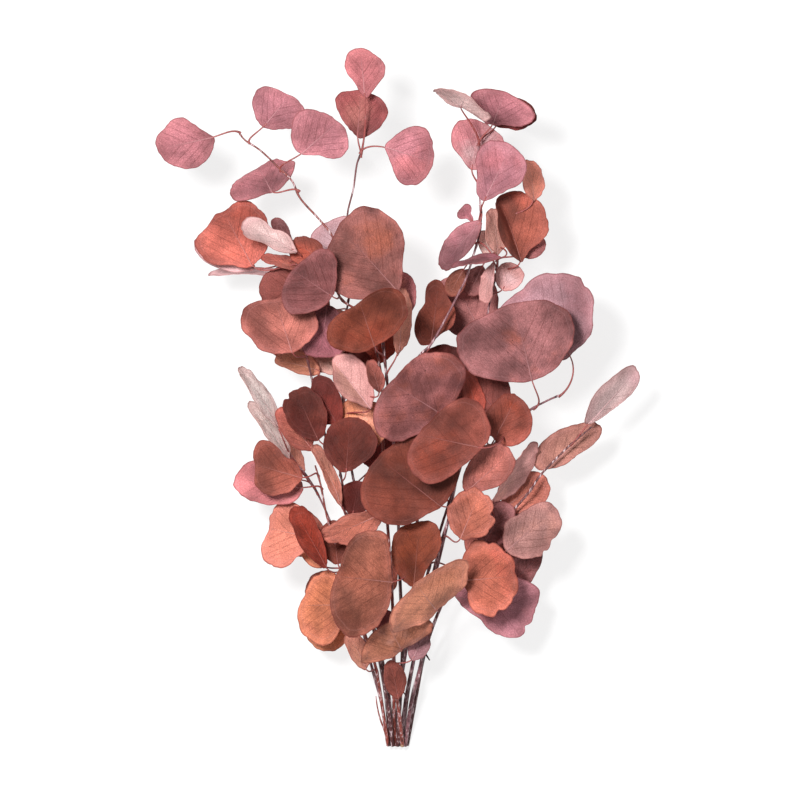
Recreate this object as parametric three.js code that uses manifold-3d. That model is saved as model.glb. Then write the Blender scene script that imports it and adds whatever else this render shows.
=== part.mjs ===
// A bunch of dried eucalyptus lying on a table. Millimetres, +Z up.
// The cut ends point to -Y, the leafy tips to +Y, and the table is the plane z = 0.
import * as THREE from 'three';
import { mergeVertices } from 'three/addons/utils/BufferGeometryUtils.js';
import Module from 'manifold-3d';

const wasm = await Module();
wasm.setup();

// ---- driving dimensions
const bladeThickness = 0.8;
const petioleRadius = 0.9;
const petioleTip = 0.38;        // its radius inside the blade
const petioleSides = 3;
const petioleSteps = 3;
const petiolePull = 0.35;       // how far a petiole keeps the stem's direction, as a share of its length
const petioleRoot = 1.2;        // how deep a petiole starts inside its stem
const ribLength = 5;            // how far a petiole runs on inside the blade
const stemSides = 5;
const stemStepLength = 28;
const outlinePoints = 14;       // points round a blade
const smallOutlinePoints = 10;
const smallBlade = 35;          // blades narrower than this have the smaller outline
const taperReach = 0.8;         // how far from its base a blade narrows, in radians round the edge
const notchReach = 0.3;         // the same for a notch in its tip
const heartWidth = 1.1;         // the same for the lobes beside a heart-shaped base
const heartGap = 0.35;          // and for the bay between those lobes
const wavesRound = 4;           // waves round a blade's edge
const weldDistance = 1e-4;      // corners closer than this are one corner
const tidyTolerance = 0.05;     // crumbs of the joining that are smoothed away

const degrees = Math.PI / 180;

// One leaf: where its blade starts, which way its midrib heads in plan, how steeply the midrib
// climbs, how far the blade is rolled about it, and the blade's length and width.
function leaf(base, [heading, pitch, roll], [long, wide], habit = {}) {
  return { base, heading, pitch, roll, long, wide, ...leafHabit, ...habit };
}

// How a blade differs from a flat oval.
// fold: angle of each half above flat, in degrees; arch: how far it bends down by its tip, in degrees
// notch: depth of a notch in its tip; wedge: how narrow it is by its base; heart: how far it reaches
// back beside its base; broad: its widest place, towards the tip when negative; lean: how much wider
// its right half is; wave: height of the waves in its edge, and phase: where they start
// swell: how far its edge stands out at eight places round it, clockwise from the tip
const leafHabit = {
  fold: 8, arch: 12, notch: 0, wedge: 0.3, broad: -0.06, lean: 0, heart: 0, wave: 0.02, phase: 0,
  swell: [1, 1, 1, 1, 1, 1, 1, 1],
};

// One leafy stem: its radius at the cut end and at its thin end, its route from the cut end up, and
// its leaves.
function stem(name, color, [thick, thin], route, leaves) {
  return { name, color, thick, thin, route, leaves };
}

// ---- the bunch, one entry for each leafy stem
const stems = [
  stem('stem_1', '#8e5b58', [1.8, 0.8], [
    [-4.3, -280, 6.2], [-5, -240, 20], [-5, -192, 36], [-8, -128, 54], [-12, -72, 66], [-14, -24, 75],
    [-15, 20, 84], [-22, 48, 92], [-32, 70, 99], [-46, 80, 104], [-51, 90, 106], [-50, 111, 106],
    [-54, 131, 106], [-64, 144, 105], [-80, 162, 104], [-86, 175, 104], [-96, 185, 105], [-112, 200, 106],
    [-124, 208, 107], [-128, 213, 108],
  ], [
    leaf([-149, 210, 106], [192, -4, 0], [46, 42],
      { fold: 5, wedge: 0.35, swell: [1.07, 0.97, 0.96, 0.8, 1, 1.12, 1.02, 0.9] }),
    leaf([-109, 218, 108], [50, 10, 0], [39, 45],
      { wedge: 0.2, swell: [0.72, 0.95, 0.95, 0.84, 1, 1.03, 1.03, 0.75] }),
    leaf([-79, 196, 116], [41, 6, 0], [43, 50],
      { notch: 0.05, swell: [0.91, 0.9, 0.93, 0.71, 1, 1.08, 1.05, 0.83] }),
    leaf([-102, 166, 98], [118, -50, 0], [46, 57],
      { fold: 6, swell: [0.92, 0.81, 0.94, 1.13, 1, 1.14, 1.05, 0.91] }),
    leaf([-53, 82, 134], [146, 2, 0], [45, 62],
      { fold: 6, swell: [0.75, 0.77, 0.98, 0.92, 1, 0.96, 0.97, 0.85] }),
    leaf([-58, 77, 106], [262, -14, 0], [46, 42], { fold: 14 }),
  ]),
  stem('stem_2', '#9a5f52', [1.95, 0.8], [
    [-2, -280, 10.3], [-0.5, -252, 24.5], [2, -200, 44], [0, -144, 60], [-2, -80, 74], [-6, -24, 89],
    [-10, 12, 100], [-13, 40, 106], [-17, 72, 107], [-30, 111, 104], [-42, 143, 102], [-37, 170, 104],
    [-34, 190, 106], [-31, 197, 107],
  ], [
    leaf([-28, 241, 118], [95, 4, 0], [40, 35],
      { fold: 6, wedge: 0.5, broad: -0.15, swell: [1, 0.91, 1.05, 0.97, 1, 0.68, 0.7, 0.92] }),
    leaf([-34, 210, 104], [86, -6, 0], [41, 45],
      { fold: 16, wedge: 0.4, swell: [0.88, 0.91, 1.05, 1.07, 1, 0.77, 0.83, 0.98] }),
    leaf([-12, 202, 110], [-17, 4, 0], [40, 49],
      { fold: 6, wedge: 0.4, broad: -0.15, swell: [0.99, 1, 0.97, 0.82, 1, 0.99, 1, 0.91] }),
    leaf([-1, 86, 120], [132, 0, 0], [70, 78],
      { fold: 6, wave: 0.03, swell: [1.06, 1.07, 0.89, 0.79, 1, 0.92, 0.98, 0.9] }),
    leaf([-20, 42, 132], [108, 28, 4], [54, 76],
      { fold: 16, swell: [0.55, 0.98, 0.97, 0.92, 1, 1, 0.93, 0.67] }),
    leaf([-12, 60, 88], [78, 0, 0], [46, 42], { fold: 6 }),
    leaf([-2, 36, 107], [80, 2, 62], [54, 30], { fold: 6 }),
  ]),
  stem('stem_3', '#b0604c', [1.75, 0.8], [
    [-8.2, -280, 6.2], [-11.5, -240, 15], [-20, -192, 29], [-32, -128, 46], [-50, -72, 58], [-61, -24, 68],
    [-71, 19, 80], [-75, 40, 85], [-73, 62, 90], [-68, 84, 92], [-70, 104, 93], [-78, 116, 94],
  ], [
    leaf([-118, 107, 86], [118, 2, 0], [54, 64],
      { fold: 10, notch: 0.04, wave: 0.03, swell: [0.95, 0.98, 0.9, 0.95, 1, 0.88, 1.08, 0.97] }),
    leaf([-83, 119, 108], [150, 8, 40], [48, 34],
      { fold: 18, swell: [1, 0.96, 0.5, 0.9, 1, 0.95, 0.7, 0.98] }),
    leaf([-84, 122, 84], [122, -4, 20], [32, 15], { fold: 10, swell: [0.85, 0.8, 0.6, 0.6, 1, 1, 1, 1] }),
    leaf([-62, 112, 99], [146, 0, 0], [32, 28], { fold: 10, swell: [0.8, 0.7, 0.75, 1, 1, 1, 1, 0.9] }),
    leaf([-80, 105, 92], [159, 0, 66], [33, 26]),
    leaf([-84, 103, 56], [174, 0, 74], [70, 24],
      { fold: 4, swell: [1, 0.8, 0.6, 0.8, 1, 1.1, 1.5, 1.3] }),
    leaf([-116, 106, 76], [157, 0, 0], [54, 24]),
    leaf([-66, 88, 84], [180, -2, 0], [47, 42]),
    leaf([-86, 38, 112], [108, 2, 0], [48, 68],
      { notch: 0.04, swell: [1, 0.85, 0.8, 1.02, 1, 1, 0.89, 1.1] }),
    leaf([-64, 24, 68], [163, -4, 46], [42, 30], { swell: [0.8, 0.95, 0.95, 1, 1, 1, 0.65, 0.68] }),
  ]),
  stem('stem_4', '#a2615c', [1.95, 0.8], [
    [-2.3, -280, 2], [-1, -240, 11], [5, -200, 25], [12, -144, 44], [14, -80, 60], [12, -24, 76],
    [12, 12, 88], [16, 36, 94], [24, 44, 96], [40, 72, 96], [46, 84, 96], [53, 98, 96], [58, 114, 96],
    [64, 136, 97], [64, 160, 98], [62, 184, 99], [63, 204, 100],
  ], [
    leaf([48, 233, 118], [62, 80, 0], [36, 50], { fold: 6, wedge: 0.3 }),
    leaf([74, 220, 102], [70, 42, 0], [34, 58],
      { fold: 12, swell: [0.97, 1.15, 0.95, 0.85, 1, 0.85, 0.8, 0.97] }),
    leaf([77, 219, 92], [70, 34, 0], [32, 54], { fold: 6, swell: [0.9, 1.1, 1, 1, 1, 1, 1, 0.85] }),
    leaf([57, 185, 90], [78, -2, 0], [43, 46],
      { fold: 20, swell: [0.88, 0.8, 1.05, 1, 1, 0.88, 1, 0.97] }),
    leaf([67, 159, 116], [64, 8, -8], [46, 50],
      { fold: 20, wedge: 0.4, swell: [1.12, 1.08, 0.8, 0.73, 1, 0.82, 0.75, 1.12] }),
    leaf([65, 143, 100], [225, -4, 46], [50, 30], { fold: 10 }),
    leaf([58, 143, 90], [125, 0, 0], [15, 14], { swell: [1, 1.1, 0.6, 0.6, 1, 0.6, 0.95, 1.05] }),
    leaf([75, 110, 106], [252, -6, 54], [34, 28], { swell: [1, 0.9, 0.65, 0.85, 1, 0.7, 0.6, 0.9] }),
    leaf([51, 105, 88], [240, -10, 0], [25, 16]),
    leaf([25, 45, 84], [83, -2, 0], [54, 38],
      { fold: 14, swell: [0.92, 0.62, 0.9, 0.87, 1, 1.2, 0.62, 0.68] }),
    leaf([33, -11, 116], [148, 30, 0], [60, 86],
      { fold: 6, wave: 0.04, heart: 0.06, swell: [0.76, 0.83, 0.98, 1.28, 1, 0.92, 0.96, 0.98] }),
  ]),
  stem('stem_5', '#93534a', [2.1, 0.9], [
    [4, -280, 6.3], [10, -240, 27], [17, -212, 40], [22, -176, 54], [25, -148, 64], [32, -118, 74],
    [39, -96, 80], [50, -76, 86], [60, -56, 90], [70, -41, 92], [80, -30, 93], [102, -9, 92],
    [116, -1, 90], [127, 4, 88],
  ], [
    leaf([105, 16, 116], [103, 0, 0], [65, 94],
      { fold: 6, wave: 0.03, wedge: 0.15, lean: -0.06, swell: [0.94, 1, 0.97, 0.98, 1, 1.03, 1.09, 1.03] }),
    leaf([136, 36, 94], [130, 0, 0], [64, 84],
      { wave: 0.05, wedge: 0.15, swell: [1.1, 1.13, 1.12, 1.12, 1, 0.95, 0.95, 1.15] }),
    leaf([75, -32, 100], [62, -4, 0], [48, 44],
      { fold: 18, swell: [0.7, 0.72, 1.03, 1.25, 1, 1, 0.7, 0.68] }),
    leaf([62, -20, 88], [97, 0, 50], [45, 26]),
    leaf([80, -14, 80], [125, -4, 0], [42, 44]),
    leaf([66, -38, 132], [168, 4, 0], [60, 68],
      { wave: 0.03, lean: 0.1, swell: [0.77, 0.62, 0.88, 1.25, 1, 0.85, 1.14, 1.17] }),
    leaf([32, -84, 112], [142, 6, 0], [65, 80],
      { wave: 0.03, swell: [0.95, 0.97, 1.05, 1.25, 1, 1, 1, 1.03] }),
    leaf([53, -73, 102], [42, 6, 0], [48, 36],
      { fold: 14, swell: [1.03, 0.93, 0.78, 0.8, 1, 1, 1, 1.1] }),
    leaf([48, -111, 110], [68, 6, 0], [42, 37], { notch: 0.05, swell: [1.08, 1, 1.1, 1, 1, 1, 1, 1] }),
    leaf([30, -169, 94], [127, 56, 0], [46, 76], { swell: [1, 1.3, 1, 0.98, 1, 1, 1, 1] }),
  ]),
  stem('stem_6', '#a97a6c', [1.95, 0.8], [
    [5.7, -280, 2], [13, -240, 11], [20, -204, 22], [29, -176, 34], [42, -148, 46], [56, -129, 54],
    [72, -112, 61], [84, -96, 65], [104, -73, 70], [112, -61, 71], [132, -40, 71], [154, -21, 71],
  ], [
    leaf([151, -19, 71], [45, 0, 38], [60, 36],
      { fold: 10, wedge: 0.3, swell: [1, 0.8, 0.5, 0.6, 1, 1.15, 1.05, 1] }),
    leaf([116, -56, 62], [40, 0, 0], [58, 32],
      { fold: 12, swell: [1, 0.82, 0.5, 0.7, 1, 1.4, 1.1, 0.9] }),
    leaf([74, -80, 78], [48, 2, 58], [60, 30], { swell: [0.95, 1, 1.2, 1.15, 1, 0.8, 0.9, 0.9] }),
    leaf([82, -87, 56], [32, 0, 0], [44, 32], { fold: 10 }),
    leaf([85, -121, 82], [42, 0, 0], [50, 54], { swell: [1.16, 0.87, 0.8, 0.97, 1, 0.85, 0.62, 0.72] }),
    leaf([50, -144, 94], [5, 4, 0], [44, 62],
      { notch: 0.03, swell: [1.03, 0.95, 1, 1.1, 1, 1.2, 1, 0.9] }),
    leaf([45, -158, 66], [-13, -2, 0], [69, 50],
      { wave: 0.03, swell: [0.88, 1, 0.82, 0.72, 1, 1, 1, 1.15] }),
    leaf([84, -153, 50], [45, 0, 0], [44, 26], { fold: 10, swell: [0.98, 0.72, 0.8, 1, 1, 1, 1, 1] }),
    leaf([80, -108, 42], [20, -4, 0], [38, 38]),
    leaf([66, -118, 72], [62, 0, 0], [42, 30]),
  ]),
  stem('stem_7', '#9c5f4a', [1.95, 0.9], [
    [2, -280, 10.8], [-1, -250, 33], [-6, -214, 54], [0, -184, 64], [10, -152, 76], [12, -128, 82],
    [10, -106, 86],
  ], [
    leaf([-6, -145, 110], [173, 26, 0], [56, 88],
      { wave: 0.03, swell: [0.75, 0.78, 0.94, 1.03, 1, 1.1, 1.08, 1] }),
    leaf([-12, -89, 101], [207, -4, -46], [54, 34]),
    leaf([11, -149, 98], [85, 2, 0], [53, 42], { fold: 12, swell: [1, 1.1, 0.78, 0.72, 1, 1, 1, 1] }),
    leaf([2, -201, 74], [119, 46, 0], [34, 66]),
    leaf([-8, -192, 68], [98, 0, 0], [24, 20]),
    leaf([10, -209, 62], [66, 0, 0], [25, 18]),
    leaf([-1, -240, 63], [100, 8, 44], [32, 24]),
  ]),
  stem('stem_8', '#c07a68', [1.75, 0.8], [
    [-9.6, -280, 10.3], [-14, -250, 21], [-20, -214, 35], [-27, -192, 43], [-38, -160, 53], [-48, -128, 60],
    [-58, -96, 68], [-64, -66, 76], [-68, -52, 80],
  ], [
    leaf([-39, -164, 66], [181, 0, 0], [44, 58], { swell: [0.92, 0.75, 0.98, 1, 1, 1, 1.07, 1.1] }),
    leaf([-40, -178, 40], [205, -2, 0], [38, 40], { swell: [0.97, 1, 1, 1, 1, 0.9, 0.8, 0.86] }),
    leaf([-27, -217, 53], [112, 0, 48], [34, 24]),
    leaf([-70, -110, 76], [168, 0, 0], [41, 54],
      { notch: 0.13, swell: [1, 0.98, 0.95, 0.9, 1, 1, 1.1, 1.12] }),
    leaf([-59, -134, 86], [116, 2, 42], [54, 30],
      { fold: 10, swell: [1.05, 1.05, 0.75, 0.8, 1, 1, 1, 1] }),
    leaf([-61, -134, 56], [137, 0, 30], [24, 16]),
    leaf([-50, -132, 64], [96, 0, 0], [36, 26]),
    leaf([-78, -70, 84], [172, 0, 0], [56, 38], { swell: [1, 0.95, 1, 1, 1, 1.08, 0.92, 0.97] }),
    leaf([-78, -62, 98], [164, 2, 0], [43, 50],
      { fold: 10, notch: 0.07, swell: [0.95, 1.15, 0.6, 0.75, 1, 0.93, 0.84, 0.85] }),
  ]),
  stem('stem_9', '#8a4a3e', [1.75, 0.8], [
    [-5.9, -280, 10.3], [-9.5, -248, 28], [-15, -216, 43], [-22, -176, 55], [-30, -136, 64], [-40, -96, 72],
    [-46, -68, 78], [-50, -40, 82], [-47, -16, 84], [-44, 4, 84],
  ], [
    leaf([-65, -32, 104], [115, 4, 0], [45, 32], { fold: 10, swell: [1, 1.05, 1, 1, 1, 1, 1, 1.1] }),
    leaf([-70, -39, 92], [128, 0, 36], [42, 28], { swell: [1.02, 1, 1, 1, 1, 1.15, 1.05, 0.92] }),
    leaf([-43, -58, 106], [86, 2, 0], [46, 44], { swell: [0.96, 0.98, 1.02, 0.94, 1, 0.97, 0.9, 0.88] }),
    leaf([-38, -44, 88], [76, 0, 0], [48, 40], { fold: 6, swell: [1, 1, 1.1, 1, 1, 1, 1, 1] }),
    leaf([-24, -6, 108], [126, 0, 20], [52, 38],
      { fold: 22, swell: [0.87, 1, 0.9, 0.92, 1, 0.85, 0.85, 0.7] }),
    leaf([-50, -20, 94], [118, 0, 0], [43, 28], { swell: [0.95, 1.08, 1, 1, 1, 1, 1, 0.75] }),
    leaf([-22, 12, 80], [130, -4, 0], [36, 28]),
    leaf([-16, 6, 118], [104, 0, 50], [28, 20], { fold: 6 }),
    leaf([-38, -92, 82], [80, 4, 0], [28, 26]),
    leaf([-47, -84, 96], [109, 2, 64], [54, 24], { fold: 6 }),
  ]),
  stem('stem_10', '#b98078', [1.6, 0.8], [
    [-9.9, -280, 2], [-14.5, -248, 7], [-25, -208, 15], [-36, -160, 27], [-48, -120, 38], [-62, -84, 48],
    [-74, -62, 56], [-84, -50, 60],
  ], [
    leaf([-97, -22, 92], [117, 0, 66], [58, 32], { fold: 4 }),
    leaf([-88, -48, 74], [120, 0, 64], [58, 30], { fold: 4 }),
    leaf([-77, -60, 50], [120, 0, 60], [50, 30], { fold: 4 }),
    leaf([-62, -104, 34], [186, -18, 0], [42, 40]),
    leaf([-80, -64, 40], [178, -12, 0], [44, 38]),
    leaf([-40, -152, 18], [195, -6, 0], [38, 38]),
  ]),
  stem('stem_11', '#a65f4e', [1.75, 0.8], [
    [-0.3, -280, 6.2], [5, -240, 18], [14, -196, 33], [26, -150, 47], [38, -100, 57], [48, -50, 61],
    [58, 0, 66], [66, 46, 73], [73, 84, 80], [78, 106, 84], [77, 122, 86], [75, 138, 88],
  ], [
    leaf([107, 159, 96], [93, 2, 56], [34, 32]),
    leaf([97, 111, 95], [106, 2, 36], [56, 58],
      { fold: 36, swell: [0.95, 1.05, 1.12, 0.95, 1, 1, 1.05, 0.78] }),
    leaf([96, 116, 84], [34, 0, 0], [24, 18]),
    leaf([78, 116, 98], [92, 2, 50], [38, 30]),
    leaf([82, 114, 122], [184, -2, 72], [42, 24], { fold: 4 }),
    leaf([74, 114, 80], [102, 0, 20], [24, 20]),
    leaf([66, 108, 74], [246, -4, 0], [26, 20]),
    leaf([82, 88, 90], [64, 0, 0], [24, 23]),
  ]),
  stem('stem_12', '#7c453c', [1.75, 0.9], [
    [-6.3, -280, 2], [-9, -240, 6], [-16, -200, 11], [-20, -150, 22], [-30, -100, 32], [-40, -50, 40],
    [-46, 0, 44], [-46, 50, 44], [-40, 90, 44],
  ], [
    leaf([-58, 74, 11], [158, -22, 0], [56, 50], { fold: 3, wave: 0.01 }),
    leaf([-36, 96, 48], [112, 4, 0], [54, 54]),
    leaf([-52, 20, 52], [98, 2, 0], [54, 52]),
    leaf([-24, -56, 48], [60, 6, 0], [58, 54]),
    leaf([-20, -112, 10], [268, -8, 0], [52, 40]),
    leaf([-66, 52, 46], [170, -6, 0], [46, 46]),
    leaf([0, -60, 30], [110, 0, 0], [56, 52]),
    leaf([-16, 30, 58], [100, 4, 0], [46, 44]),
  ]),
  stem('stem_13', '#85514a', [1.75, 0.9], [
    [1.7, -280, 2], [6, -240, 6], [13, -200, 12], [20, -150, 24], [34, -100, 34], [50, -50, 42],
    [62, 0, 44], [68, 44, 42],
  ], [
    leaf([80, 40, 11], [24, -22, 0], [58, 54], { fold: 3, wave: 0.01 }),
    leaf([66, 52, 50], [116, 6, 0], [56, 54]),
    leaf([40, -10, 60], [100, 0, 0], [56, 54]),
    leaf([56, -96, 34], [318, -12, 0], [54, 50]),
    leaf([88, 24, 62], [52, 4, 0], [50, 50]),
    leaf([52, -140, 14], [345, -4, 0], [48, 44]),
  ]),
];

// ---- blades

// A point of the flat blade, before it is folded: `angle` runs from 0 at the tip to pi at the base.
function outlinePoint(shape, angle) {
  const fromTip = Math.abs(angle);
  const fromBase = Math.PI - fromTip;
  const across = Math.sin(angle);
  const along = Math.cos(angle);
  const taper = 1 - shape.wedge * bump(fromBase / taperReach);
  const notch = shape.notch * bump(fromTip / notchReach);
  const heart = shape.heart * (1 - bump(fromBase / heartGap)) * bump(fromBase / heartWidth);
  const swell = swelling(shape.swell, angle);
  const fullness = (1 - shape.broad * along) * (1 + shape.lean * Math.sign(across));
  return [
    0.5 * shape.wide * across * taper * fullness * swell,
    shape.long * (0.5 + swell * (0.5 * along - notch - heart)),
  ];
}

// One at zero, falling smoothly to nothing on both sides.
function bump(distance) {
  return Math.exp(-(distance ** 2));
}

// How far a blade's edge stands out at an angle: a smooth periodic curve through its eight values.
function swelling(values, angle) {
  let total = 0;
  values.forEach((value, i) => {
    const turn = angle - 2 * Math.PI * i / values.length;
    const inner = Math.cos(turn) + Math.cos(2 * turn) + Math.cos(3 * turn);
    total += value * (1 + 2 * inner + Math.cos(4 * turn));
  });
  return total / values.length;
}

// Folds the blade along its midrib, waves its edge and bends it down towards the tip.
function bend(shape, across, along, reach, angle) {
  const lift = Math.abs(across) * Math.sin(shape.fold * degrees)
    + shape.wide * shape.wave * reach ** 3 * Math.sin(wavesRound * angle + shape.phase);
  const turn = shape.arch * degrees / shape.long;
  const bent = turn * along;
  return [
    across * Math.cos(shape.fold * degrees),
    Math.sin(bent) / turn + lift * Math.sin(bent),
    (Math.cos(bent) - 1) / turn + lift * Math.cos(bent),
  ];
}

// The axes of a leaf in the bunch: across the blade, along the midrib, and out of its upper face.
function leafAxes({ heading, pitch, roll }) {
  const level = new THREE.Vector3(Math.sin(heading * degrees), -Math.cos(heading * degrees), 0);
  const along = new THREE.Vector3(
    Math.cos(heading * degrees) * Math.cos(pitch * degrees),
    Math.sin(heading * degrees) * Math.cos(pitch * degrees),
    Math.sin(pitch * degrees),
  );
  const across = level.applyAxisAngle(along, roll * degrees);
  return { across, along, up: new THREE.Vector3().crossVectors(across, along) };
}

function placed(shape, axes, [across, along, up]) {
  return new THREE.Vector3(...shape.base)
    .addScaledVector(axes.across, across)
    .addScaledVector(axes.along, along)
    .addScaledVector(axes.up, up);
}

// A blade is a fan of triangles from its middle, alike on both faces, closed by a narrow wall.
// Where it would sink through the table it lies flat on it.
function blade(shape) {
  const axes = leafAxes(shape);
  const count = shape.wide < smallBlade ? smallOutlinePoints : outlinePoints;
  const upper = [placed(shape, axes, bend(shape, 0, shape.long / 2, 0, 0))];
  for (let i = 0; i < count; i += 1) {
    const angle = 2 * Math.PI * i / count;
    const signed = angle > Math.PI ? angle - 2 * Math.PI : angle;
    upper.push(placed(shape, axes, bend(shape, ...outlinePoint(shape, signed), 1, signed)));
  }
  const skin = bladeThickness / Math.cos(shape.fold * degrees);
  const lower = upper.map((point) => point.clone().addScaledVector(axes.up, -skin));
  upper.forEach((point) => point.setZ(Math.max(point.z, bladeThickness)));
  lower.forEach((point) => point.setZ(Math.max(point.z, 0)));
  const faces = [];
  for (let i = 1; i <= count; i += 1) {
    const next = i % count + 1;
    const [low, lowNext] = [i + count + 1, next + count + 1];
    faces.push(0, next, i, count + 1, low, lowNext, i, next, lowNext, i, lowNext, low);
  }
  return surface([...upper, ...lower], faces);
}

function surface(points, faces) {
  const geometry = new THREE.BufferGeometry();
  const corners = points.flatMap((point) => point.toArray());
  geometry.setAttribute('position', new THREE.Float32BufferAttribute(corners, 3));
  geometry.setIndex(faces);
  return geometry;
}

// ---- stems and petioles

// A closed round rod along a curve, narrowing from its first radius to its last.
function rod(curve, first, last, sides, steps) {
  const section = new THREE.Shape();
  for (let i = 0; i < sides; i += 1) {
    const angle = 2 * Math.PI * i / sides;
    section[i ? 'lineTo' : 'moveTo'](Math.cos(angle), Math.sin(angle));
  }
  const geometry = new THREE.ExtrudeGeometry(section, { steps, extrudePath: curve });
  const centres = curve.getSpacedPoints(steps);
  const corners = geometry.getAttribute('position');
  for (let i = 0; i < corners.count; i += 1) {
    const corner = new THREE.Vector3().fromBufferAttribute(corners, i);
    const distances = centres.map((centre) => centre.distanceTo(corner));
    const step = distances.indexOf(Math.min(...distances));
    const radius = THREE.MathUtils.lerp(first, last, step / steps);
    corner.sub(centres[step]).multiplyScalar(radius).add(centres[step]);
    corners.setXYZ(i, ...corner.toArray());
  }
  return geometry;
}

function stemCurve(route) {
  const points = route.map((point) => new THREE.Vector3(...point));
  return new THREE.CatmullRomCurve3(points, false, 'centripetal');
}

// The place on a stem that a leaf grows from: the nearest one to a spot behind its blade.
function nearestKnot(curve, spot) {
  let best = { gap: Infinity };
  const centres = curve.getSpacedPoints(stemSteps(curve));
  for (let i = 1; i < centres.length; i += 1) {
    const piece = new THREE.Line3(centres[i - 1], centres[i]);
    const point = piece.closestPointToPoint(spot, true, new THREE.Vector3());
    const gap = point.distanceTo(spot);
    if (gap < best.gap) best = { gap, point, tangent: piece.delta(new THREE.Vector3()).normalize() };
  }
  return best;
}

function stemSteps(curve) {
  return Math.ceil(curve.getLength() / stemStepLength);
}

// A leaf's stalk: it leaves the stem along it, swings round and runs on into the blade.
function petiole(shape, curve) {
  const { along, up } = leafAxes(shape);
  const base = new THREE.Vector3(...shape.base).addScaledVector(up, -bladeThickness / 2);
  const knot = nearestKnot(curve, base.clone().addScaledVector(along, -shape.long * petiolePull));
  const reach = knot.point.distanceTo(base);
  const inward = base.clone().sub(knot.point).normalize().multiplyScalar(-petioleRoot);
  const path = new THREE.CubicBezierCurve3(
    knot.point.clone().add(inward),
    knot.point.clone().addScaledVector(knot.tangent, reach * petiolePull),
    base.clone().addScaledVector(along, -reach * petiolePull),
    base.clone().addScaledVector(along, ribLength),
  );
  return rod(path, petioleRadius, petioleTip, petioleSides, petioleSteps);
}

// ---- joining

function solid(geometry) {
  geometry.deleteAttribute('normal');
  geometry.deleteAttribute('uv');
  const merged = mergeVertices(geometry, weldDistance);
  return new wasm.Manifold(new wasm.Mesh({
    numProp: 3,
    vertProperties: Float32Array.from(merged.getAttribute('position').array),
    triVerts: Uint32Array.from(merged.getIndex().array),
  }));
}

function geometryOf(body) {
  const mesh = body.getMesh();
  const geometry = new THREE.BufferGeometry();
  geometry.setAttribute('position', new THREE.Float32BufferAttribute(mesh.vertProperties, 3));
  geometry.setIndex(Array.from(mesh.triVerts));
  geometry.computeVertexNormals();
  return geometry;
}

// Joins a stem's pieces into one body and drops the crumbs that joining can leave.
function joined(pieces) {
  const bodies = wasm.Manifold.union(pieces).simplify(tidyTolerance).decompose();
  return bodies.reduce((best, body) => (body.volume() > best.volume() ? body : best));
}

function leafyStem({ thick, thin, route, leaves }) {
  const curve = stemCurve(route);
  const wood = rod(curve, thick, thin, stemSides, stemSteps(curve));
  const stalks = leaves.map((shape) => petiole(shape, curve));
  return geometryOf(joined([wood, ...leaves.map(blade), ...stalks].map(solid)));
}

const bunch = new THREE.Group();
for (const entry of stems) {
  const material = new THREE.MeshStandardMaterial({ color: entry.color, roughness: 0.7, metalness: 0 });
  const mesh = new THREE.Mesh(leafyStem(entry), material);
  mesh.name = entry.name;
  bunch.add(mesh);
}

export default bunch;
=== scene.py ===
import math

import bpy
import numpy as np
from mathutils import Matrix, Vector


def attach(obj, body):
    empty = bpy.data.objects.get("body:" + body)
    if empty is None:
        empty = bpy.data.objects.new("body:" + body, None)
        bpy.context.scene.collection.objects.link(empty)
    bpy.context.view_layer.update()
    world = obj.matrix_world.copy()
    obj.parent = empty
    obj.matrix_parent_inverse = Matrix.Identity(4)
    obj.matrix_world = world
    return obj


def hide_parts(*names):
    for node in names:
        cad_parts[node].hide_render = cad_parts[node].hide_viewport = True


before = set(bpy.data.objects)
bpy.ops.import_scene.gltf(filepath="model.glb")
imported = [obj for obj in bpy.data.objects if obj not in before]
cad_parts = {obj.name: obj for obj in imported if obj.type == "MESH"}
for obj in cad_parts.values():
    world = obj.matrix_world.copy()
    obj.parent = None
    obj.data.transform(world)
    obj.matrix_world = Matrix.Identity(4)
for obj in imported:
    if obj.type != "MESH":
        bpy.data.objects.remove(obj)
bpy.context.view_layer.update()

mm = 0.001
print("frame loaded:", len(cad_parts), "stems")


class Field:  # a socket that can be added, multiplied and so on, each time through a Math node
    def __init__(self, tree, socket):
        self.tree, self.socket = tree, socket

    def math(self, operation, *others):
        node = addNode(self.tree, "ShaderNodeMath", operation=operation)
        for place, value in enumerate((self, *others)):
            plug(self.tree, value, node.inputs[place])
        return Field(self.tree, node.outputs[0])

    def __add__(self, other):
        return self.math("ADD", other)

    def __sub__(self, other):
        return self.math("SUBTRACT", other)

    def __mul__(self, other):
        return self.math("MULTIPLY", other)

    def __truediv__(self, other):
        return self.math("DIVIDE", other)

    def __rsub__(self, other):
        return self * -1 + other

    __radd__ = __add__
    __rmul__ = __mul__


def plug(tree, value, socket):  # a value goes on the socket itself, a Field or a socket is linked
    if isinstance(value, Field):
        tree.links.new(value.socket, socket)
    elif isinstance(value, bpy.types.NodeSocket):
        tree.links.new(value, socket)
    else:
        socket.default_value = value


def addNode(tree, kind, inputs=None, **settings):
    node = tree.nodes.new(kind)
    node.location = (len(tree.nodes) % 24 * 190, len(tree.nodes) // 24 * -260)
    for name, value in settings.items():
        setattr(node, name, value)
    for name, value in (inputs or {}).items():
        plug(tree, value, node.inputs[name])
    return node


def newGroup(name, kind, inputs, outputs):  # inputs and outputs are {name: socket type}
    tree = bpy.data.node_groups.new(name, kind)
    for title, socketType in inputs.items():
        tree.interface.new_socket(title, in_out="INPUT", socket_type="NodeSocket" + socketType)
    for title, socketType in outputs.items():
        tree.interface.new_socket(title, in_out="OUTPUT", socket_type="NodeSocket" + socketType)
    start = addNode(tree, "NodeGroupInput")
    return tree, start, addNode(tree, "NodeGroupOutput")


def scaled(tree, vector, amount):
    return addNode(tree, "ShaderNodeVectorMath", {0: vector, "Scale": amount}, operation="SCALE").outputs[0]


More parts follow.
